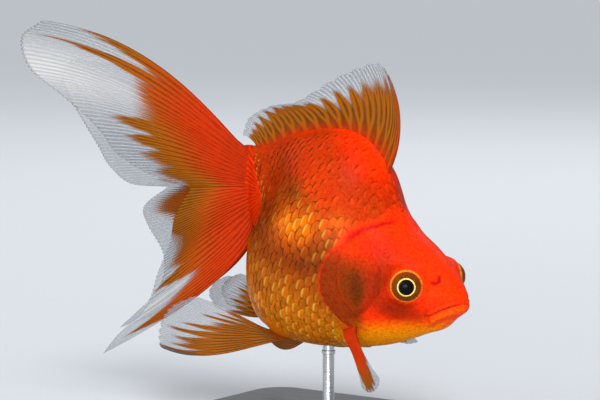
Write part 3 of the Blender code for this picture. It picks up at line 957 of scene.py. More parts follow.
@dataclass(frozen=True)
class Landmarks:
    """Lines and places on the side of the fish that its relief and its markings share."""

    gill_centre: tuple = (30.5, -5.0)
    gill_reach: tuple = (13.9, 15.3)
    bone_centre: tuple = (26.0, 4.5)
    bone_reach: tuple = (14.8, 19.8)
    nape: float = 41.4
    eye_centre: tuple = (17.2, 12.3, 0.1)
    eye_axis: tuple = (-0.50, 0.84, 0.20)
    eye_radius: float = 5.9
    eye_opening: float = 5.45
    nostril: tuple = (11.0, 6.6, 4.4)
    nostril_radius: float = 2.0

    def gill(self, s: Array, h: Array) -> Array:
        """Elliptic distance from the gill cover's centre: 1 at its soft rear edge."""
        (cs, ch), (rs, rh) = self.gill_centre, self.gill_reach
        return np.hypot(np.maximum(s - cs, 0) / rs, (h - ch) / rh)

    def bone(self, s: Array, h: Array) -> Array:
        """Elliptic distance that is 1 at the rear edge of the gill cover's bone."""
        (cs, ch), (rs, rh) = self.bone_centre, self.bone_reach
        return np.hypot(np.maximum(s - cs, 0) / rs, (h - ch) / rh)

    def mouth(self, s: Array, h: Array) -> Array:
        """Height above the mouth's line, which curves down towards its corner."""
        s = np.maximum(s, 0)
        return h + 0.1 + 0.62 * s + 0.040 * s**2

    def mouth_corner(self, s: Array, h: Array) -> Array:
        """Distance from the short upright fold at the mouth's corner."""
        return np.hypot(s - 8.4 - 0.25 * (h + 8.0), 0.26 * (h + 8.3))

    def nostril_fold(self, s: Array, y: Array, h: Array) -> tuple[Array, Array]:
        """Distance outside the fold round the nostril, and how far ahead of its middle.

        Args:
            s: distance back.
            y: distance to the left.
            h: height.

        Returns:
            The two distances.
        """
        ns, ny, nh = self.nostril
        away = np.sqrt((s - ns) ** 2 + (np.abs(y) - ny) ** 2 + (h - nh) ** 2)
        return away - self.nostril_radius, ns - s + 0.3 * (nh - h)

    def nape_line(self, s: Array, h: Array) -> Array:
        """Distance behind the groove between nape and shoulder, which runs forward as it rises."""
        return s - np.maximum(self.nape - 0.062 * (h - 4.0) ** 2 * (h > 4.0), 33.5)

    def cheek(self, s: Array, h: Array) -> Array:
        """Distance behind the groove between the cheek and the gill cover."""
        return s - (23.9 + 0.035 * (h + 5.0) ** 2)

    def fan_line(self, s: Array, h: Array) -> Array:
        """Distance behind the bowed line on the stalk's side where the tail's fan begins."""
        return s - (84.8 + 0.0415 * (h + 3.5) ** 2 + 0.38 * np.maximum(h, 0))

    def fan_rays(self, s: Array, h: Array) -> Array:
        """1 on the rays and 0 between them: waves of the angle round where the fan's rays meet."""
        return 0.5 + 0.5 * np.cos(58.0 * np.arctan2(h - 4.0, np.abs(s - 81.5) + 1e-6))

    def scaled(self, s: Array, h: Array) -> Array:
        """1 where the body bears scales: behind the nape and the gill cover, up to the fan.

        Args:
            s: distance back.
            h: height.

        Returns:
            The mask.
        """
        behind_gill = smooth(self.gill(s, h), 1.0, 1.06) * smooth(s, 31.0, 33.0)
        behind_nape = smooth(self.nape_line(s, h), 0.0, 2.5)
        overrun = 1.5 * smooth(h, -1.0, 3.0)
        ahead_of_fan = 1 - smooth(self.fan_line(s, h) - overrun, -0.8, 0.6)
        ahead_of_fan = ahead_of_fan * (1 - smooth(s, 96.0, 98.0))
        return np.where(h > 6.0, behind_nape, behind_gill) * ahead_of_fan


@dataclass(frozen=True)
class Markings:
    """The coat's colours as shares, the same on skin and scales.

    The four shares are gold, brown, red, and a dark share of pigment and painted shade; gold also
    paints a highlight on the flank. Each is the largest of its soft masks, and each mask is a
    product of smooth steps, bells and spots, times how strong it is.
    """

    marks: Landmarks = Landmarks()
    # painted highlight: gold where the light catches the mid flank, and a smaller patch ahead of it
    gold_highlight: Spot = Spot(59.0, 3.5, 6.2, long=1.3)
    gold_highlight_front: Spot = Spot(46.0, 10.5, 3.2)
    cover_middle: Spot = Spot(27.5, -1.0, 3.5)
    behind_eye: Spot = Spot(25.5, -2.5, 7.5, long=0.75, tall=1.3)
    cheek: Spot = Spot(17.5, -8.5, 4.4, long=2.0)
    shoulder: Spot = Spot(31.5, -20.6, 3.0, long=1.3)
    upper_rear: Spot = Spot(76.0, 13.0, 8.0, long=1.5)
    nape: Spot = Spot(30.5, 6.5, 5.0, long=1.5)
    shadow: Spot = Spot(49.0, -5.0, 7.5, long=1.3)
    mirror_glow: Spot = Spot(58.0, 4.0, 7.0, long=1.7)
    mirror_stalk: Spot = Spot(79.0, 1.0, 4.8, long=1.5)
    mirror_belly: Spot = Spot(62.0, -26.0, 7.0)

    def at(self, s: Array, y: Array, h: Array) -> Array:
        """The shares at points of the fish's frame, each from 0 to 1.

        Gold fills the throat under a line from the lips to the gill, the lips and the belly, and is a
        painted highlight on the flank. Brown fills the flank below the back's vivid band, the upper
        body and the gill cover. Red lies on the cheek, behind the eye, along the nape's groove, on the
        hump, round the nostril and on the fan's rays. The dark share darkens the patch behind the gill
        and the streaks behind the eye, and is painted shade along the lines of mouth and gill, in the
        shaded places and in the fold ahead of the tail.

        Args:
            s: distance back.
            y: distance to the left.
            h: height.

        Returns:
            The shares, one column each.
        """
        s, y, h = np.broadcast_arrays(s, y, h)
        m = self.marks
        gill, bone, cheek_line, nape_line = m.gill(s, h), m.bone(s, h), m.cheek(s, h), m.nape_line(s, h)

        above = smooth(h, 2.0, 8.0)
        trunk = (1 - above) * smooth(gill, 1.0, 1.10) * smooth(s, 31.0, 34.0)
        trunk += above * smooth(nape_line, 0.0, 5.0)
        fan = smooth(m.fan_line(s, h), -2.2, 1.2)
        inside = 1 - smooth(gill, 0.98, 1.03)
        cover = smooth(s, 24.0, 29.0) * inside * (1 - smooth(h, -4.0, 8.0))
        back_line = 14.0 + 0.42 * (s - 50.0)
        stalk = smooth(s + 0.5 * h, 74.0, 84.0)
        belly = smooth(-h, 6.0, 30.0) * trunk
        flank = smooth(back_line - h, -8.0, 9.0) * trunk
        # painted highlight: a share of gold where the light catches the mid flank
        gold_highlight = np.clip(self.gold_highlight.at(s, h) + 0.45 * self.gold_highlight_front.at(s, h), 0, 1) * trunk
        shoulder = self.shoulder.at(s, h)
        throat = (1 - 0.9 * shoulder) * smooth(-h - 4.5 - 0.45 * s, -1.0, 7.0)
        throat = throat * (1 - smooth(s, 33.0, 42.0)) * smooth(s, 0.0, 3.0)
        cheek = self.cheek.at(s, h) * (1 - throat)
        behind_eye = self.behind_eye.at(s, h)
        disc = (1 - smooth(bone, 0.96, 1.02)) * (1 - 0.35 * self.cover_middle.at(s, h))
        rim = cover * smooth(bone, 0.96, 1.02)

        lip = 0.25 * bell(m.mouth(s, h) + 2.0, 1.3) * (1 - smooth(s, 6.5, 9.0))
        gold = np.max((throat, lip, 0.50 * belly, 0.38 * gold_highlight), axis=0)

        lower = 0.95 * flank * (1 - 0.25 * belly) * (1 - 0.7 * gold_highlight)
        lower = lower * (1 - 0.35 * stalk * smooth(h, 0.0, 6.0))
        upper = 0.60 * trunk * (1 - smooth(h - back_line, 8.0, 18.0))
        head = (0.95 * disc * cover, 0.85 * rim, 0.55 * behind_eye, 0.40 * cheek)
        brown = np.max((lower, upper, *head), axis=0)

        groove = 0.9 * bell(nape_line + 0.4, 1.6) * smooth(h, 3.0, 8.0) * smooth(np.abs(y), 2.0, 8.0)
        hump = 0.4 * bell(h - (back_line + 12.0), 4.5) * trunk * (1 - stalk)
        spots = (0.6 * self.upper_rear.at(s, h), 0.62 * self.nape.at(s, h), 0.8 * shoulder)
        away, ahead = m.nostril_fold(s, y, h)
        nostril = bell(away, 0.65) * smooth(ahead, -0.4, 0.8)
        rays = 0.9 * (1 - m.fan_rays(s, h)) * fan
        head = (0.95 * cheek, 0.9 * behind_eye, 0.45 * rim, nostril)
        red = np.max((*head, groove, hump, *spots, rays), axis=0)

        across = 0.88 * (s - 31.0) - 0.47 * (h + 6.5)
        down = 0.47 * (s - 31.0) + 0.88 * (h + 6.5)
        patch = 0.62 * bell(np.hypot(across, down / 2.4), 3.0)
        low = 1 - smooth(h, 0.0, 6.0)
        # painted shade: darker along the mouth's slit
        slit = 0.4 * bell(m.mouth(s, h), 0.35) * (1 - smooth(s, 7.5, 8.5))
        # pigment streaks behind the eye, then painted shade in the cheek's groove, under the edges of
        # the gill cover's bone and flap, and in the fold at the mouth's corner
        lines = (
            0.30 * behind_eye * (0.5 + 0.5 * np.cos(2 * pi * cheek_line / 1.5)),
            0.35 * bell(cheek_line, 0.8) * smooth(-h, -3, 2) * (1 - smooth(-h, 13, 17)),
            0.5 * bell(bone - 1.02, 0.018) * smooth(s, 26, 29) * inside * low,
            0.5 * bell(gill - 1.035, 0.022) * smooth(s, 30, 34) * low,
            slit + 0.30 * bell(m.mouth_corner(s, h), 0.6),
        )
        under_eye = 0.26 * cheek + 0.20 * rim + 0.14 * disc * cover + 0.12 * behind_eye
        rear = 0.18 * stalk * smooth(h, 2.0, 8.0) * (1 - smooth(h - back_line, -9.0, -2.0))
        shadow = 0.30 * self.shadow.at(s, h) * trunk
        low_side = 0.22 * smooth(-h, 8.0, 20.0) * trunk
        # painted shade in the fold where the flank is drawn in ahead of the tail
        fold = 0.35 * bell(s + h - 71.0, 1.6) * smooth(s, 66.0, 72.0) * (1 - smooth(s, 84.0, 88.0))
        # the dark share: dark pigment, and painted shade in grooves, slits, folds and shaded places
        dark_and_shade = np.max((patch, *lines, under_eye, rear, shadow, fold, low_side), axis=0)

        keep = 1 - fan
        shares = (gold * keep, brown * keep + 0.38 * fan, red, dark_and_shade * keep)
        return np.clip(np.stack(shares, -1), 0, 1)

    def metal(self, s: Array, h: Array) -> Array:
        """How much the scales mirror and stand: most in the glow, at the fan and on the belly.

        Args:
            s: distance back.
            h: height.

        Returns:
            The share, from 0 to 1.
        """
        lower = 0.62 * smooth(-h, 4.0, 20.0)
        fan = 1.3 * bell(self.marks.fan_line(s, h) + 1.0, 3.0) * smooth(h, -2.0, 2.0)
        spots = self.mirror_glow.at(s, h) + 0.75 * self.mirror_stalk.at(s, h)
        spots = spots + 0.6 * self.mirror_belly.at(s, h)
        dull = 0.95 * smooth(h - 0.35 * s, -10.0, 0.0) * (1 - smooth(s, 78.0, 86.0))
        return np.clip(0.10 + spots + lower + fan, 0, 1) * (1 - dull)


# ---------------------------------------------------------------- skin


@dataclass(frozen=True)
class Skin:
    """One closed skin from the lips to the root of the tail."""

    body: Body = Body()
    marks: Landmarks = Landmarks()
    markings: Markings = Markings()
    finish: SkinFinish = SkinFinish()
    columns: int = 352
    coat_depth: float = 0.35
    keel: float = 1.0
    keel_width: float = 1.5
    chin: Spot = Spot(6.0, -11.5, 4.2, tall=1.25)
    chin_rise: float = 0.95
    folds: tuple = (Spot(32.3, -21.2, 3.6), Spot(60.0, -39.0, 4.5))
    fold_rise: float = 0.7
    eye_clear: float = 0.05
    eye_bead: float = 0.22
    eye_socket: float = 5.0
    bands: tuple = ((0.0, 42), (10.0, 91), (46.0, 56), (82.0, 44))

    def rows(self) -> Array:
        """Stations of the grid's rows, even in each band: close at the lips, wider on the trunk."""
        body = self.body
        quarter = np.linspace(0.0, pi / 2, 9)
        front = -body.snout_cap * np.sin(quarter[-1:0:-1] * 0.995)
        rear = body.length + body.root_cap * np.sin(quarter[1:] * 0.985)
        starts, counts = zip(*self.bands)
        ends = (*starts[1:], body.length)
        between = [np.linspace(*band)[:-1] for band in zip(starts, ends, counts)]
        return np.concatenate((front, *between, [body.length], rear))

    def lips(self, s: Array, h: Array) -> Array:
        """Relief of the mouth: two rounded lips, the slit between them and their creases.

        Args:
            s: distance back.
            h: height.

        Returns:
            Millimetres of rise.
        """
        d = self.marks.mouth(s, h)
        fade = (1 - smooth(s, 6.4, 9.2)) * (0.15 + 0.85 * smooth(s, -0.6, 2.6))
        upper = 0.30 * bell(d - 0.8, 0.50) - 0.20 * bell(d - 2.0, 0.6)
        lower = 0.75 * bell(d + 2.1, 1.45) - 0.30 * bell(d + 4.5, 0.7) * smooth(s, 1.5, 4.0)
        slit = -1.0 * bell(d, 0.26)
        return fade * (upper + lower + slit) - 0.85 * bell(self.marks.mouth_corner(s, h), 0.55)

    def gill_cover(self, s: Array, h: Array) -> Array:
        """Relief of the gill cover: a plate with a bony edge in a softer rim, and its groove.

        Args:
            s: distance back.
            h: height.

        Returns:
            Millimetres of rise.
        """
        marks = self.marks
        edge, bone = marks.gill(s, h), marks.bone(s, h)
        inside = 1 - smooth(edge, 0.975, 1.02)
        fade = smooth(s, 23.5, 28.5) * (1 - smooth(h, -2.0, 8.5))
        plate = 0.75 * inside * fade
        plate += 0.35 * (1 - smooth(bone, 0.965, 1.03)) * inside * fade
        crease = -0.35 * bell(edge - 1.045, 0.028) * smooth(s, 29.0, 32.0)
        crease = crease * (1 - smooth(h, 1.0, 8.0))
        level = smooth(-h, -5.0, 0.0) * (1 - smooth(-h, 13.0, 18.0))
        behind = marks.cheek(s, h)
        groove = (-0.55 * bell(behind, 0.8) + 0.25 * bell(behind - 1.9, 1.0)) * level
        return plate + crease + groove

    def relief(self, s: Array, y: Array, h: Array) -> Array:
        """Millimetres that the skin rises from the body's plain surface.

        It sinks by the coat's depth where scales lie on it, and in the grooves of the nape and
        the nostril. It rises in the fan's rays, the keel of the back, the chin, and where the
        pectoral and pelvic fins join it.

        Args:
            s: distance back.
            y: distance to the left.
            h: height.

        Returns:
            The rise, negative for a hollow.
        """
        marks = self.marks
        lift = self.lips(s, h) + self.gill_cover(s, h)
        lift -= self.coat_depth * marks.scaled(s, h)
        beside = smooth(h, 3.0, 8.0) * smooth(np.abs(y), 3.0, 9.0)
        lift -= 0.30 * bell(marks.nape_line(s, h), 1.6) * beside
        lift += 0.11 * (marks.fan_rays(s, h) - 0.5) * smooth(marks.fan_line(s, h), 0.0, 1.5)
        away, ahead = marks.nostril_fold(s, y, h)
        lift -= 0.32 * bell(away, 0.45) * smooth(ahead, -0.6, 0.8)
        lift += self.keel * bell(y, self.keel_width) * smooth(s, 43.0, 48.0) * (h > 0)
        lift += self.chin_rise * self.chin.at(s, h)
        for fold in self.folds:
            lift += self.fold_rise * fold.at(s, h)
        return lift

    def eye_rims(self, grid: Array) -> Array:
        """The skin drawn up to a rounded rim round each eye and tucked in behind it.

        A point at the distance rho from the eye's axis moves along the axis only: from 8 mm out
        to the opening it comes up to the rim's height, where the eyeball's own surface is, and
        inside the opening it drops into the ball.

        Args:
            grid: the skin's points, (rows, columns, 3).

        Returns:
            The points, moved.
        """
        marks, pose = self.marks, self.body.pose
        cs, cy, ch = marks.eye_centre
        a_s, a_y, a_h = marks.eye_axis
        opening = marks.eye_opening
        rim_height = (marks.eye_radius**2 - opening**2) ** 0.5 + self.eye_clear
        for side in Side:
            centre = pose.to_world(cs, side.value * cy, ch)
            axis = pose.direction(a_s, side.value * a_y, a_h)
            offset = (grid - centre) / MM
            height = offset @ axis
            rho = np.linalg.norm(offset - height[..., None] * axis, axis=-1)
            near = (1 - smooth(rho, opening + 0.4, opening + 2.4)) * (height > -1.0)
            bead = self.eye_bead * bell(rho - opening - 0.40, 0.38)
            wanted = rim_height + bead - self.eye_socket * smooth(opening - rho, -0.05, 1.1)
            grid = grid + ((wanted - height) * near * MM)[..., None] * axis
        return grid

    def build(self) -> bpy.types.Object:
        """The skin's piece."""
        rows = self.rows()
        turns = np.linspace(0, 2 * pi, self.columns, endpoint=False)
        s, y, h = self.body.point(rows[:, None], turns[None, :])
        plain = self.body.pose.to_world(s, y, h)
        normals = grid_normals(plain, wrap=True)
        middle = plain.mean(axis=1, keepdims=True)
        if ((plain - middle) * normals).sum() < 0:
            normals = -normals
        grid = self.eye_rims(plain + normals * (self.relief(s, y, h) * MM)[..., None])
        shares = self.markings.at(s, y, h)
        shares = np.concatenate((shares.reshape(-1, 4), shares[[0, -1], 0]))
        points, faces = capped_rings(grid, grid[[0, -1]].mean(axis=1))
        piece = new_piece("skin", points, faces, self.finish.build(), masks={"markings": shares})
        covers = ("gill_cover_left", "gill_cover_right")
        return place(piece, "skin", "head", "lower_jaw", "trunk", "tail_stalk", *covers)


@dataclass(frozen=True)
class Scales:
    """Overlapping scales in staggered rows, from the nape and the gills to the tail's root."""

    body: Body = Body()
    marks: Landmarks = Landmarks()
    markings: Markings = Markings()
    rows_round: int = 42
    first: float = 30.0
    pitch_front: float = 2.45
    pitch_rear: float = 1.65
    overlap: float = 2.3
    width_share: float = 0.66
    jitter: float = 0.10
    sink: float = 0.40
    stand_dull: float = 0.05
    stand_metal: float = 0.19
    luck_least: float = 0.8
    luck_more: float = 0.4
    crown: float = 0.03
    thick_share: float = 0.35
    most_thick: float = 0.045
    patch: float = 0.003
    grain: int = 7
    seed: int = 7

    def columns_along(self) -> Array:
        """Stations of the scales' roots, spaced by a pitch that shrinks towards the tail."""
        span = self.body.length - 0.3 - self.first
        mean = (self.pitch_front + self.pitch_rear) / 2
        count = int(span / mean)
        t = np.arange(count) / count
        widening = (self.pitch_rear - self.pitch_front) / (self.pitch_rear + self.pitch_front)
        return self.first + span * (t + widening * (t * t - t))

    def turns_round(self) -> Array:
        """Turns that part the widest section into equal lengths of arc."""
        fine = np.linspace(0, 2 * pi, 2001)
        _, y, h = self.body.point(60.0, fine)
        arc = np.concatenate(([0.0], np.cumsum(np.hypot(np.diff(y), np.diff(h)))))
        wanted = (np.arange(self.rows_round * 2 + 1) / (self.rows_round * 2)) * arc[-1]
        return np.interp(wanted, arc, fine)

    def roots(self) -> tuple[Array, Array, Array, Array]:
        """Station, turn, half angle and pitch of every scale.

        Odd columns are shifted by half a row, so the scales are staggered like tiles.
        """
        along = self.columns_along()
        half_steps = self.turns_round()
        column, row = np.meshgrid(np.arange(len(along)), np.arange(self.rows_round), indexing="ij")
        centre = 2 * row + column % 2
        turn = half_steps[centre]
        last = 2 * self.rows_round
        after = half_steps[np.minimum(centre + 1, last)] - turn
        before = turn - half_steps[np.maximum(centre - 1, 0)]
        half = np.where(after > 0, after, before) * 2 * self.width_share
        pitch = np.gradient(along)[column]
        return along[column].ravel(), turn.ravel(), half.ravel(), pitch.ravel()

    def build(self) -> list[bpy.types.Object]:
        """The two coat pieces, left and right."""
        random = np.random.RandomState(self.seed)
        s, turn, half, pitch = self.roots()
        luck = random.rand(len(s))
        s = s + pitch * self.jitter * (random.rand(len(s)) - 0.5)
        tip_s, _, tip_h = self.body.point(s + pitch * 1.4, turn)
        kept = self.marks.scaled(tip_s, tip_h) > 0.5
        material = ScaleFinish().build()
        made = []
        for side in Side:
            own = kept & (np.sign(np.sin(turn) + 1e-9) == side.value)
            values = (value[own] for value in (s, turn, half, pitch, luck))
            made.append(self.piece(side, material, *values))
        return made

    def piece(
        self, side: Side, material: bpy.types.Material,
        s: Array, turn: Array, half: Array, pitch: Array, luck: Array,
    ) -> bpy.types.Object:
        """One side's scales as closed plates.

        Each plate is a square grid bent into a disc, x = a·√(1 - b²/2) and y = b·√(1 - a²/2).
        Its x runs back from the root and its y round the body. It rises in proportion towards
        its rounded tip, the more the more metallic its place is, falls off across as the square,
        and is thickest in its middle and nothing at its rim. Its thickness is held under its
        rise, so that its tip stays clear of the next scale.

        Args:
            side: the side of the fish.
            material: the scales' finish.
            s: roots' stations.
            turn: roots' turns.
            half: half angles that the scales span.
            pitch: distance to the next row.
            luck: each scale's own number from 0 to 1.

        Returns:
            The piece.
        """
        n = self.grain
        a, b = np.meshgrid(np.linspace(-1, 1, n), np.linspace(-1, 1, n), indexing="ij")
        x = a * np.sqrt(1 - b**2 / 2)
        across = b * np.sqrt(1 - a**2 / 2)
        along = (x + 1) / 2
        rim = 1 - np.maximum(np.abs(a), np.abs(b))
        place_s = s[:, None, None] + (pitch * self.overlap)[:, None, None] * (along - 0.1)
        place_turn = turn[:, None, None] + half[:, None, None] * across
        fish_s, fish_y, fish_h = self.body.point(place_s, place_turn)
        metal = self.markings.metal(fish_s, fish_h)
        at_tip = metal[:, -1:, n // 2:n // 2 + 1]
        lucky = self.luck_least + self.luck_more * luck[:, None, None]
        stand = (self.stand_dull + self.stand_metal * at_tip) * lucky
        lift = -self.sink + stand * along - self.crown * across**2
        thick = np.minimum(self.thick_share * stand, self.most_thick) * np.minimum(rim * 3, 1)
        top = self.body.lifted(place_s, place_turn, lift + thick)
        under = self.body.lifted(place_s, place_turn, lift - thick)
        front, back, inner = two_faces(n, n)
        plate = np.concatenate((grid_quads(front.T), grid_quads(back)))
        size = n * n + inner.sum()
        count = len(s)
        points = np.concatenate((top.reshape(count, -1, 3), under[:, inner]), axis=1)
        faces = (plate[None] + (np.arange(count) * size)[:, None, None]).reshape(-1, 4)

        def spread(grid: Array) -> Array:
            """Values of a scale's grid at all its vertices, for every scale."""
            grid = np.broadcast_to(grid, (count, n, n))
            return np.concatenate((grid.reshape(count, -1), grid[:, inner]), axis=1).ravel()

        shares = self.markings.at(fish_s, fish_y, fish_h)
        marks = np.stack([spread(shares[..., k]) for k in range(4)], -1)
        parts = (luck[:, None, None], along, np.abs(across), metal)
        own = np.stack([spread(part) for part in parts], -1)
        root_u = s[:, None, None] / 100.0
        root_v = (turn / (2 * pi))[:, None, None]
        bake = (root_u + self.patch * (along - 0.5), root_v + self.patch * across / 2)
        bake = np.stack([spread(part) for part in bake], -1)
        made = new_piece(
            "scales_" + side.word, points.reshape(-1, 3), [faces], material,
            uvs={"OFBake": bake}, masks={"markings": marks, "scale": own},
        )
        return place(made, "skin")


# ---------------------------------------------------------------- fins


@dataclass(frozen=True)
class Fin:
    """One fin: guiding rays from root to tip, and how its sheet is dressed.

    Attributes:
        node: the solid that it stands for.
        roots, tips: guiding points in world metres, (n, 3).
        bows: how far each guide bows along bow_way at its middle, in millimetres.
        skew: the power of the share along the ray at which the bow is read.
        ripple: height, number of waves and the share of a wave at which it starts.
        rays: number of main rays.
        size: columns and rows of the grid.
        web: half thickness at the root and at the edge.
        scallop: depth in millimetres and number of scallops in the edge.
        reach: places across the fin with the share of the length that pigment fills there.
        tongues: depth and number of the pigment's tongues, which lie on the rays.
        soft: how far the pigment takes to fade.
        fill: share of the reach that is kept.
        red_to: shares of the length between which red turns to amber.
        edge_red: redness along the first ray.
        white: places across and along of a white patch of painted highlight, with its widths.
        black: whether the first ray ends in black.
        tuck: millimetres by which the root is drawn into the body.
        inside: share of the length that lies inside the body.
        ray_rise: how far a ray stands out of each face.
        ray_notch: how far the edge falls back between rays.
    """

    node: str
    roots: Array
    tips: Array
    bows: tuple
    bow_way: Array
    rays: int
    size: tuple
    reach: tuple
    skew: float = 1.0
    ripple: tuple = (0.0, 0.0, 0.0)
    web: tuple = (0.45, 0.10)
    scallop: tuple = (0.0, 1)
    tongues: tuple = (0.0, 1)
    soft: float = 0.06
    fill: float = 1.0
    red_to: tuple = (0.2, 0.7)
    edge_red: float = 0.0
    white: tuple = ()
    black: bool = False
    tuck: tuple = (0.0, 0.0, 0.0)
    inside: float = 0.05
    ray_rise: float = 0.13
    ray_notch: float = 0.35

    def sheet(self, u: Array, v: Array) -> Array:
        """World points of the fin's middle surface.

        Straight lines run from the root's curve to the tip's curve. Each is bowed by
        4w(1 - w) with w = v^skew, and a sine across the fin ripples it more towards the edge.

        Args:
            u: shares across, (columns,).
            v: shares along, (columns, rows); below 0 lies inside the body.

        Returns:
            Points, (columns, rows, 3).
        """
        guides = np.linspace(0, 1, len(self.tips))
        root = np.stack([through(guides, column, u) for column in np.transpose(self.roots)], -1)
        tip = np.stack([through(guides, column, u) for column in np.transpose(self.tips)], -1)
        bow = through(guides, self.bows, u)[:, None, None] * MM
        chord = tip - root
        way = unit(chord)
        square = unit(self.bow_way - (way @ self.bow_way)[:, None] * way)
        share = v[..., None]
        w = np.maximum(share, 0) ** self.skew
        height, waves, start = self.ripple
        lift = height * MM * np.sin(2 * pi * (waves * u + start))[:, None, None] * share
        flat = root[:, None] + chord[:, None] * share + square[:, None] * bow * 4 * w * (1 - w)
        hidden = (1 - smooth(share, -self.inside, 0.20)) * np.array(self.tuck) * MM
        return flat + np.cross(way, square)[:, None] * lift + hidden

    def ray_nearness(self, u: Array, v: Array) -> Array:
        """1 on a ray and 0 between rays, with the same forks as the finish draws.

        Args:
            u: shares across the fin.
            v: shares along it.

        Returns:
            The nearness.
        """
        distance = np.abs(u * self.rays % 1 - 0.5)
        for level, (start, end) in enumerate(FORKS):
            distance = np.abs(distance - 0.25 / 2**level * smooth(v, start, end))
        width = np.interp(v, *RAY_WIDTHS)
        return 1 - smooth(distance / width, 0.3, 1.6)

    def web_masks(self, u: Array, v: Array) -> Array:
        """Pigment, redness, white and black over the fin, one column each.

        Pigment ends where v passes the reach, which the tongues push in and out. Redness falls
        from the root to red_to. White patches of painted highlight lie only off the pigment.

        Args:
            u: shares across the fin.
            v: shares along it.

        Returns:
            The masks, in a last axis of four.
        """
        places, ends = np.transpose(self.reach)
        depth, count = self.tongues
        wave = -np.cos(2 * pi * count * u) * (0.6 + 0.4 * np.sin(17.0 * u + 1.0))
        end = self.fill * np.interp(u, places, ends) + depth * wave
        pigment = 1 - smooth((v - end) / self.soft, -0.5, 0.5)
        start, stop = self.red_to
        redness = 1 - smooth(v + 0.03 * wave, start, stop)
        redness = np.maximum(redness, self.edge_red * bell(u / 0.04, 1.0))
        white = np.zeros_like(v)
        # painted highlight: white patches on the clear film
        for place_u, place_v, wide, long in self.white:
            patch = bell((u - place_u) / wide, 1.0) * smooth(v, place_v - long, place_v + long)
            white = np.maximum(white, patch)
        white = white * (1 - pigment)
        black = self.black * bell(u / 0.045, 1.0) * smooth(v, 0.62, 0.80)
        return np.clip(np.stack(np.broadcast_arrays(pigment, redness, white, black), -1), 0, 1)

    def build(self, material: bpy.types.Material) -> bpy.types.Object:
        """The fin's piece: two faces that share their rim, thicker along the rays.

        The edge is scalloped by a power of |sin| of the place across, and notched between rays.
        The half thickness falls from root to edge, and the rays stand out of it.

        Args:
            material: the fins' finish.

        Returns:
            The piece.
        """
        columns, rows = self.size
        u = np.linspace(0, 1, columns)
        depth, count = self.scallop
        length = np.linalg.norm(np.asarray(self.tips) - self.roots, axis=-1).mean() / MM
        notch = np.abs(np.sin(pi * (u * count))) ** 0.7
        comb = 1 - self.ray_nearness(u, np.ones_like(u))
        edge = 1 - (depth * (1 - notch) + self.ray_notch * comb) / length
        v = np.linspace(-self.inside, 1, rows)[None, :] * edge[:, None]
        middle = self.sheet(u, v)
        normals = grid_normals(middle, wrap=False)
        near = self.ray_nearness(u[:, None], v)
        root_half, edge_half = self.web
        web = edge_half + (root_half - edge_half) * (1 - smooth(v, -self.inside, 0.55))
        half = (web + self.ray_rise * near * (1 - 0.5 * v)) * MM
        half[[0, -1]] = 0
        half[:, [0, -1]] = 0
        front, back, inner = two_faces(columns, rows)
        top = middle + normals * half[..., None]
        under = middle - normals * half[..., None]
        points = np.concatenate((top.reshape(-1, 3), under[inner]))
        masks = self.web_masks(u[:, None], v)
        masks = np.concatenate((masks.reshape(-1, 4), masks[inner]))
        fin_map = np.stack(np.broadcast_arrays((u * self.rays)[:, None], v), -1)
        fin_map = np.concatenate((fin_map.reshape(-1, 2), fin_map[inner]))
        faces = [np.concatenate((grid_quads(front), grid_quads(back)[:, ::-1]))]
        name = self.node + "_web"
        piece = new_piece(name, points, faces, material, {"fin": fin_map}, {"web": masks})
        return place(piece, "fin", self.node)


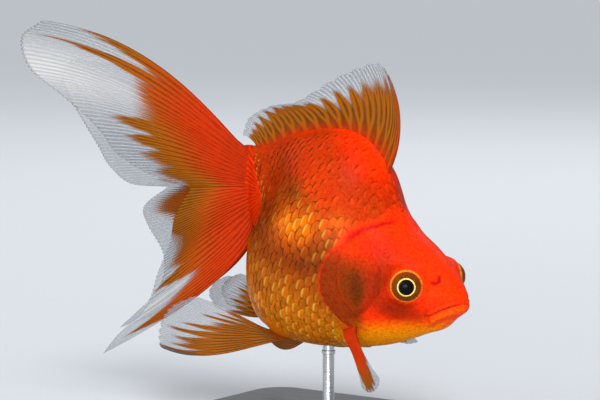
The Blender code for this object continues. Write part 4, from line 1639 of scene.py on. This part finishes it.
@dataclass(frozen=True)
class Fins:
    """All the fins, rooted on the body."""

    body: Body = Body()
    root_gap: float = 0.75
    tail_swing: float = 23.0
    tail_spread: float = 20.0
    tail_root: tuple = (0.4, 0.8)

    def dorsal(self) -> Fin:
        """The sail-like fin on the back."""
        s = np.array((44.0, 50.2, 60.0, 71.0, 81.0, 88.0, 92.5))
        root_s, _, root_h = self.body.point(s, 0 * s)
        tip_s = np.array((55.0, 63.2, 75.0, 87.0, 97.5, 104.8, 104.5))
        tip_h = np.array((57.8, 60.0, 49.8, 35.6, 29.2, 21.8, 15.2))
        return Fin(
            "dorsal_fin",
            self.body.pose.to_world(root_s, 0.0, root_h + self.root_gap / 2),
            self.body.pose.to_world(tip_s, 0.0, tip_h),
            (4.2, 4.3, 3.0, 2.4, 2.0, 1.4, 0.6), np.array((1.0, 0.0, 0.0)),
            rays=17, size=(409, 64), ripple=(1.0, 1.6, 0.0), scallop=(0.9, 17), web=(0.6, 0.12),
            reach=((0.0, 1.0), (0.07, 0.92), (0.13, 0.76), (0.25, 0.72), (0.36, 0.64), (0.46, 0.60),
                   (0.55, 0.80), (0.70, 0.82), (0.78, 0.70), (0.90, 0.62), (1.0, 0.60)),
            tongues=(0.16, 17), soft=0.48, red_to=(-0.08, 0.26), edge_red=0.7,
        )

    def tail(self, side: Side) -> list[Fin]:
        """One half of the twin tail: its upper and its lower lobe.

        Args:
            side: the side of the fish.

        Returns:
            The fins.
        """
        right = side is Side.RIGHT
        turn = radians(self.tail_swing + (self.tail_spread if right else -self.tail_spread))
        gap, offset = self.tail_root
        origin = self.body.pose.to_world(self.body.length, side.value * offset, 0.0)
        origin = origin - np.array((gap, 0.0, 0.0)) * MM
        back = np.array((-cos(turn), -sin(turn), 0.0))
        up = np.array((0.0, 0.0, 1.0))

        def at(points: tuple) -> Array:
            """World points of places back and up in the half's upright plane."""
            back_by, up_by = np.transpose(points)
            return origin + (back * back_by[:, None] + up * up_by[:, None]) * MM

        upper_z = (11.5, 9.6, 7.7, 5.8, 4.0, 2.6, 1.4, 0.0)
        lower_z = (0.0, -2.4, -4.6, -6.8, -9.0, -11.0, -12.4)
        if right:
            upper = ((72.0, 58.4), (79.2, 52.5), (76.5, 42.0), (65.5, 32.5),
                     (54.0, 21.8), (46.5, 12.0), (35.0, 4.6), (21.0, 0.0))
            lower = ((21.0, 0.0), (27.0, -10.0), (28.6, -18.5), (32.5, -29.0),
                     (37.0, -42.0), (47.0, -51.0), (52.5, -57.6))
            upper_bows = (8.6, 6.8, 5.4, 4.2, 3.0, 2.0, 1.0, 0.0)
            lower_bows = (0.0, 0.5, 0.5, 0.0, -2.2, -4.9, -7.4)
            fill, soft = 1.0, 0.19
        else:
            upper = ((79.0, 41.5), (85.0, 36.0), (81.5, 28.5), (73.5, 20.0),
                     (66.5, 11.5), (62.0, 3.5), (54.0, -2.4), (37.5, -2.5))
            lower = ((37.5, -2.5), (46.0, -9.6), (44.5, -16.5), (39.5, -27.0),
                     (42.0, -39.0), (51.0, -49.0), (57.0, -54.5))
            upper_bows = (7.0, 6.0, 5.0, 4.0, 3.0, 2.0, 1.0, 0.0)
            lower_bows = (0.0, 0.5, 0.5, 0.0, -2.0, -5.5, -8.5)
            fill, soft = 0.78, 0.34
        return [
            Fin(
                "tail_upper_" + side.word, at([(0.0, z) for z in upper_z]), at(upper), upper_bows, up,
                rays=13, size=(469, 84), skew=1.2, ripple=(1.8, 1.4, 0.0),
                reach=((0.0, 0.84), (0.035, 0.72), (0.065, 0.50), (0.085, 0.54), (0.105, 0.92),
                       (0.125, 0.76), (0.15, 0.52), (0.32, 0.52), (0.40, 0.57), (0.465, 0.62),
                       (0.50, 0.82), (0.535, 0.80), (0.57, 0.64), (0.60, 0.84), (0.635, 0.80),
                       (0.667, 0.66), (0.70, 0.80), (0.74, 0.78), (0.79, 0.72), (0.84, 0.90),
                       (0.93, 0.86), (0.97, 0.95), (1.0, 1.05)),
                tongues=(0.03, 52), soft=soft, red_to=(0.22, 0.66), fill=fill,
                # painted highlight on the clear film
                white=((0.27, 0.5, 0.14, 0.05),),
            ),
            Fin(
                "tail_lower_" + side.word, at([(0.0, z) for z in lower_z]), at(lower), lower_bows, up,
                rays=13, size=(469, 70), skew=0.62, ripple=(1.8, 1.4, 0.4),
                reach=((0.0, 1.1), (0.25, 1.1), (0.30, 0.98), (0.36, 0.88), (0.43, 0.82),
                       (0.53, 0.84), (0.565, 0.74), (0.60, 0.98), (0.635, 0.76), (0.67, 0.56),
                       (0.74, 0.56), (0.78, 0.62), (0.84, 0.64), (0.89, 0.80), (0.92, 0.90),
                       (0.96, 0.74), (1.0, 0.60)),
                tongues=(0.04, 52), soft=soft, red_to=(0.20, 0.90), fill=fill,
                # painted highlight streaks on the clear film
                white=((0.695, 0.60, 0.030, 0.06), (0.77, 0.64, 0.018, 0.06)),
            ),
        ]

    def pelvic(self, side: Side) -> Fin:
        """A fin under the belly, swept back and out; the left one hangs lower.

        Args:
            side: the side of the fish.

        Returns:
            The fin.
        """
        azimuth, dip = (35.0, 0.0) if side is Side.RIGHT else (31.0, 10.0)
        tips = np.array(((40.6, -4.0), (40.8, 1.0), (39.0, 7.0), (35.2, 10.8), (28.5, 13.6)))
        s = np.linspace(56.5, 63.0, len(tips))
        turn = np.radians(np.linspace(-160.5, -153.0, len(tips))) * -side.value
        roots = self.body.lifted(s, turn, 0 * s + self.root_gap)
        out, down = radians(azimuth), radians(dip)
        back = np.array((-cos(out) * cos(down), side.value * sin(out) * cos(down), -sin(down)))
        up = np.array((-cos(out) * sin(down), side.value * sin(out) * sin(down), cos(down)))
        fill, red_to = (1.0, (-0.25, 0.16)) if side is Side.RIGHT else (1.3, (-0.3, 0.6))
        ends = roots.mean(axis=0) + (back * tips[:, :1] + up * tips[:, 1:]) * MM
        return Fin(
            "pelvic_fin_" + side.word, roots, ends, (-4.1, -3.0, -1.6, -0.3, 0.6), up,
            rays=9, size=(217, 64), skew=1.5, scallop=(0.8, 9),
            reach=((0.0, 0.84), (0.25, 0.80), (0.5, 0.70), (0.6, 0.50), (0.75, 0.54),
                   (0.85, 0.42), (1.0, 0.54)),
            tongues=(0.19, 9), soft=0.34, fill=fill, red_to=red_to, black=side is Side.RIGHT,
        )

    def anal(self, side: Side) -> Fin:
        """One of the pair of small fins behind the vent.

        Args:
            side: the side of the fish.

        Returns:
            The fin.
        """
        tips = ((92.5, -45.5), (96.5, -42.0), (95.5, -37.0), (91.0, -32.6))
        s = np.linspace(71.5, 79.0, len(tips))
        turn = np.full(len(tips), radians(173.0) * side.value)
        tip_s, tip_h = np.transpose(tips)
        return Fin(
            "anal_fin_" + side.word, self.body.lifted(s, turn, 0 * s + self.root_gap),
            self.body.pose.to_world(tip_s, side.value * 3.5, tip_h),
            (-1.0, -0.5, 0.5, 1.0), np.array((0.0, 0.0, 1.0)),
            rays=6, size=(121, 40), scallop=(0.6, 6), web=(0.35, 0.10),
            reach=((0.0, 0.50), (0.4, 0.40), (1.0, 0.30)),
            tongues=(0.16, 6), soft=0.40, red_to=(-0.2, 0.2),
        )

    def pectoral(self, side: Side) -> Fin:
        """A paddle behind the gill: the right one swung forward and down, the left one back.

        Args:
            side: the side of the fish.

        Returns:
            The fin.
        """
        if side is Side.RIGHT:
            offsets = ((19.5, -8.0, -14.7), (17.3, -5.7, -18.2), (14.0, -4.1, -20.5),
                       (10.7, -2.8, -21.0), (7.5, -1.1, -19.9))
        else:
            offsets = ((-4.0, 18.1, -12.8), (-7.7, 17.6, -13.8), (-10.3, 15.1, -13.0),
                       (-12.1, 11.1, -11.0), (-13.4, 6.2, -8.3))
        s = np.linspace(30.0, 34.5, len(offsets))
        turn = np.radians(np.linspace(-118.0, -126.0, len(offsets))) * -side.value
        roots = self.body.lifted(s, turn, 0 * s + self.root_gap)
        tips = roots.mean(axis=0) + np.array(offsets) * MM
        return Fin(
            "pectoral_fin_" + side.word, roots, tips,
            (-2.2, -1.2, 0.2, 1.5, 2.8), unit(tips[0] - tips[-1]),
            rays=8, size=(209, 56), scallop=(0.4, 8), web=(0.6, 0.12),
            reach=((0.0, 0.58), (0.12, 0.62), (0.28, 0.90), (0.5, 0.98), (0.7, 0.96),
                   (0.85, 0.80), (1.0, 0.74)),
            tongues=(0.05, 8), soft=0.16, red_to=(0.45, 0.95), tuck=(0.0, -side.value * 3.0, 0.8),
        )

    def build(self) -> None:
        """Every fin's piece."""
        material = FinFinish().build()
        fins = [self.dorsal()]
        for side in Side:
            fins += [*self.tail(side), self.pelvic(side), self.anal(side), self.pectoral(side)]
        for fin in fins:
            fin.build(material)


# ---------------------------------------------------------------- eyes and stand


@dataclass(frozen=True)
class Eyes:
    """Two glass eyes, turned a little forward, each a ball with a raised ring round its pupil."""

    marks: Landmarks = Landmarks()
    pose: Pose = Pose()
    cornea: float = 0.60
    ring_rise: float = 0.10
    pupil_dip: float = 0.12
    rings: int = 48
    sides: int = 96

    def build(self) -> None:
        """Both eyes' pieces.

        A point at the polar angle p from the eye's axis lies at the ball's radius. In front the
        cornea adds its height times cos(p)², and the glass dips over the pupil and rises along
        the ring round it.
        """
        marks = self.marks
        material = EyeFinish().build()
        cs, cy, ch = marks.eye_centre
        polar = np.linspace(0, pi, self.rings + 1)[1:-1][:, None]
        around = np.linspace(0, 2 * pi, self.sides, endpoint=False)[None, :]
        rho = marks.eye_radius * np.sin(polar)
        pupil = EyeFinish().pupil_share * marks.eye_opening
        front = polar < pi / 2
        ring = self.ring_rise * bell(rho - pupil - 0.15, 0.30)
        dip = self.pupil_dip * (1 - smooth(rho, pupil - 0.5, pupil))
        radius = marks.eye_radius + front * (self.cornea * np.cos(polar) ** 2 + ring - dip)
        for side in Side:
            a_s, a_y, a_h = marks.eye_axis
            axis = self.pose.direction(a_s, side.value * a_y, a_h)
            up = unit(self.pose.direction(0, 0, 1) - axis * (self.pose.direction(0, 0, 1) @ axis))
            ahead = np.cross(up, axis) * side.value
            centre = self.pose.to_world(cs, side.value * cy, ch)
            flat = ahead * np.cos(around)[..., None] + up * np.sin(around)[..., None]
            reach = (radius * np.sin(polar))[..., None] * flat
            grid = centre + (reach + (radius * np.cos(polar))[..., None] * axis) * MM
            poles = centre + np.outer((radius[0, 0], -marks.eye_radius), axis) * MM
            points, faces = capped_rings(grid, poles)
            if np.dot(np.cross(ahead, up), axis) > 0:
                faces = [face[:, ::-1] for face in faces]
            share = np.where(front, rho, 2 * marks.eye_radius) / marks.eye_opening
            spot = np.stack((share * np.cos(around), share * np.sin(around)), -1).reshape(-1, 2)
            spot = np.concatenate((spot, ((0.0, 0.0), (2.0, 0.0))))
            piece = new_piece("glass_eye_" + side.word, points, faces, material, {"eye": spot})
            place(piece, "eye", "eye_" + side.word)


@dataclass(frozen=True)
class Stand:
    """The lacquered base with eased edges, and the turned steel rod up into the belly."""

    corner: float = 12.0
    edge: float = 1.5
    lower_edge: float = 0.4
    foot_radius: float = 5.0
    rod_radius: float = 2.0
    collar: float = 0.5
    ring: float = 0.35
    sink: float = 1.4

    def base(self) -> bpy.types.Object:
        """The base: a rounded rectangle swept up a profile with rounded upper edges.

        Each ring is the base's outline drawn in by an inset, and the profile lists the inset
        and height of the rings: up the side, round a quarter circle, and over the top.
        """
        low, high = (np.array(corner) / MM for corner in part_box("stand_base"))
        half = (high - low)[:2] / 2
        middle = (high + low)[:2] / 2
        angle = np.linspace(0, 2 * pi, 97)[:-1] + pi / 96
        quarter = np.linspace(0, pi / 2, 9)
        eased = self.lower_edge
        inset = np.concatenate(([eased, 0.0], self.edge * (1 - np.cos(quarter)), [4.0, 15.0]))
        rounded = high[2] - self.edge * (1 - np.sin(quarter))
        height = np.concatenate(([low[2], low[2] + eased], rounded, [high[2], high[2]]))
        reach = np.maximum(self.corner - inset, 0.5)[:, None]
        centre = (half - self.corner)[None, None, :] * np.ones((len(inset), 1, 1))
        centre = np.maximum(centre - np.maximum(inset - self.corner, 0)[:, None, None], 0.1)
        way = np.stack((np.cos(angle), np.sin(angle)), -1)
        flat = middle + np.sign(way) * centre + way * reach[..., None]
        return turned("base_lacquered", flat, height, LacquerFinish().build())

    def rod(self) -> bpy.types.Object:
        """The rod: a turned profile of radius against height, sunk a little into the belly.

        It has a domed foot, a quarter ellipse, with a collar above it, and a ring near its top.
        """
        low, high = (np.array(corner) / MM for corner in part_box("stand_rod"))
        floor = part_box("stand_base")[1][2] / MM
        foot, rod = self.foot_radius, self.rod_radius
        quarter = np.linspace(0, pi / 2, 7)
        collar, ring = rod + self.collar, rod + self.ring
        dome_r = collar + (foot - rod - self.collar) * np.cos(quarter)
        dome_z = low[2] + 0.7 + 1.5 * np.sin(quarter)
        profile = [
            (foot - 0.2, floor - 0.2), (foot, floor + 0.2), *zip(dome_r, dome_z),
            (collar, low[2] + 2.9), (rod + 0.1, low[2] + 3.0), (rod, low[2] + 3.3),
            (rod, high[2] - 2.2), (ring, high[2] - 2.0), (ring, high[2] - 1.0),
            (rod, high[2] - 0.8), (rod, high[2] + self.sink),
        ]
        radius, height = np.transpose(profile)
        angle = np.linspace(0, 2 * pi, 64, endpoint=False)
        middle = (low + high)[:2] / 2
        ring = np.stack((np.cos(angle), np.sin(angle)), -1)
        flat = middle + radius[:, None, None] * ring
        return turned("rod_steel", flat, height, SteelFinish().build())

    def build(self) -> None:
        """Both pieces of the stand."""
        place(self.base(), "stand_base", "stand_base")
        place(self.rod(), "stand_rod", "stand_rod")


def turned(name: str, flat: Array, height: Array, material: bpy.types.Material) -> bpy.types.Object:
    """A closed solid through level rings of points, shaded smooth with its sharp turns kept.

    Args:
        name: the piece's name.
        flat: x and y of the rings in millimetres, from the bottom up, each counterclockwise
            from above, (rings, sides, 2).
        height: z of each ring.
        material: the finish.

    Returns:
        The piece.
    """
    level = np.broadcast_to(height[:, None, None], (*flat.shape[:2], 1))
    grid = np.concatenate((flat, level), -1) * MM
    piece = new_piece(name, *capped_rings(grid, grid[[0, -1]].mean(axis=1)), material)
    piece.data.set_sharp_from_angle(angle=radians(40))
    return piece


@dataclass(frozen=True)
class Studio:
    """A pale floor, soft lights and the camera, as for a museum's catalogue.

    A soft light is given by its name, place, width in metres and power in watts.
    """

    camera_place: tuple = (0.5640, -0.8110, 0.1930)
    camera_target: tuple = (-0.0114, -0.0009, 0.0791)
    lens: float = 174.6
    floor_size: float = 12.0
    world: str = "e6ebf2"
    world_strength: float = 0.42
    key_from: tuple = (0.45, -0.62, 0.95)
    key_spread: float = radians(24)
    key_strength: float = 2.15
    soft_lights: tuple = (
        ("fill", (-0.60, -0.80, 0.45), 0.9, 2.5),
        ("low", (0.34, -0.70, 0.03), 0.4, 8.0),
        ("back", (-0.30, 0.80, 0.90), 0.9, 5.0),
    )

    def aimed(self, name: str, data: bpy.types.ID, spot: tuple) -> bpy.types.Object:
        """A camera or light at a place, turned towards the fish.

        Args:
            name: its name.
            data: the camera or light.
            spot: the place.

        Returns:
            The object.
        """
        made = bpy.data.objects.new(name, data)
        made.location = spot
        way = Vector(self.camera_target) - Vector(spot)
        made.rotation_euler = way.to_track_quat("-Z", "Y").to_euler()
        bpy.context.scene.collection.objects.link(made)
        return made

    def camera(self) -> None:
        """The camera: a long lens a metre off, a little above the fish and off its right front."""
        data = bpy.data.cameras.new("camera")
        data.lens = self.lens
        data.clip_end = 50.0
        bpy.context.scene.camera = self.aimed("camera", data, self.camera_place)

    def key(self) -> None:
        """The key light: even over the whole floor, and as soft as a wide diffuser."""
        data = bpy.data.lights.new("key", "SUN")
        data.angle = self.key_spread
        data.energy = self.key_strength
        lamp = bpy.data.objects.new("key", data)
        lamp.rotation_euler = Vector(self.key_from).to_track_quat("Z", "Y").to_euler()
        bpy.context.scene.collection.objects.link(lamp)

    def build(self) -> None:
        """Floor, world and lights."""
        half = self.floor_size / 2
        corners = np.array([(-half, -half, 0), (half, -half, 0), (half, half, 0), (-half, half, 0)])
        paper = PaperFinish().build()
        new_piece("floor", corners, [np.array([[0, 1, 2, 3]])], paper)
        world = bpy.data.worlds.new("studio")
        world.use_nodes = True
        background = world.node_tree.nodes["Background"]
        background.inputs["Color"].default_value = linear(self.world)
        background.inputs["Strength"].default_value = self.world_strength
        bpy.context.scene.world = world
        bpy.context.scene.view_settings.view_transform = "Standard"
        self.key()
        for name, spot, size, power in self.soft_lights:
            data = bpy.data.lights.new(name, "AREA")
            data.size = size
            data.energy = power
            self.aimed(name, data, spot)


def main() -> None:
    """Build the studio and every piece of the fish."""
    logging.basicConfig(level=logging.INFO, format="%(name)s %(message)s")
    Studio().camera()
    Skin().build()
    Scales().build()
    Fins().build()
    Eyes().build()
    Stand().build()
    Studio().build()


if __name__ == "__main__":
    main()
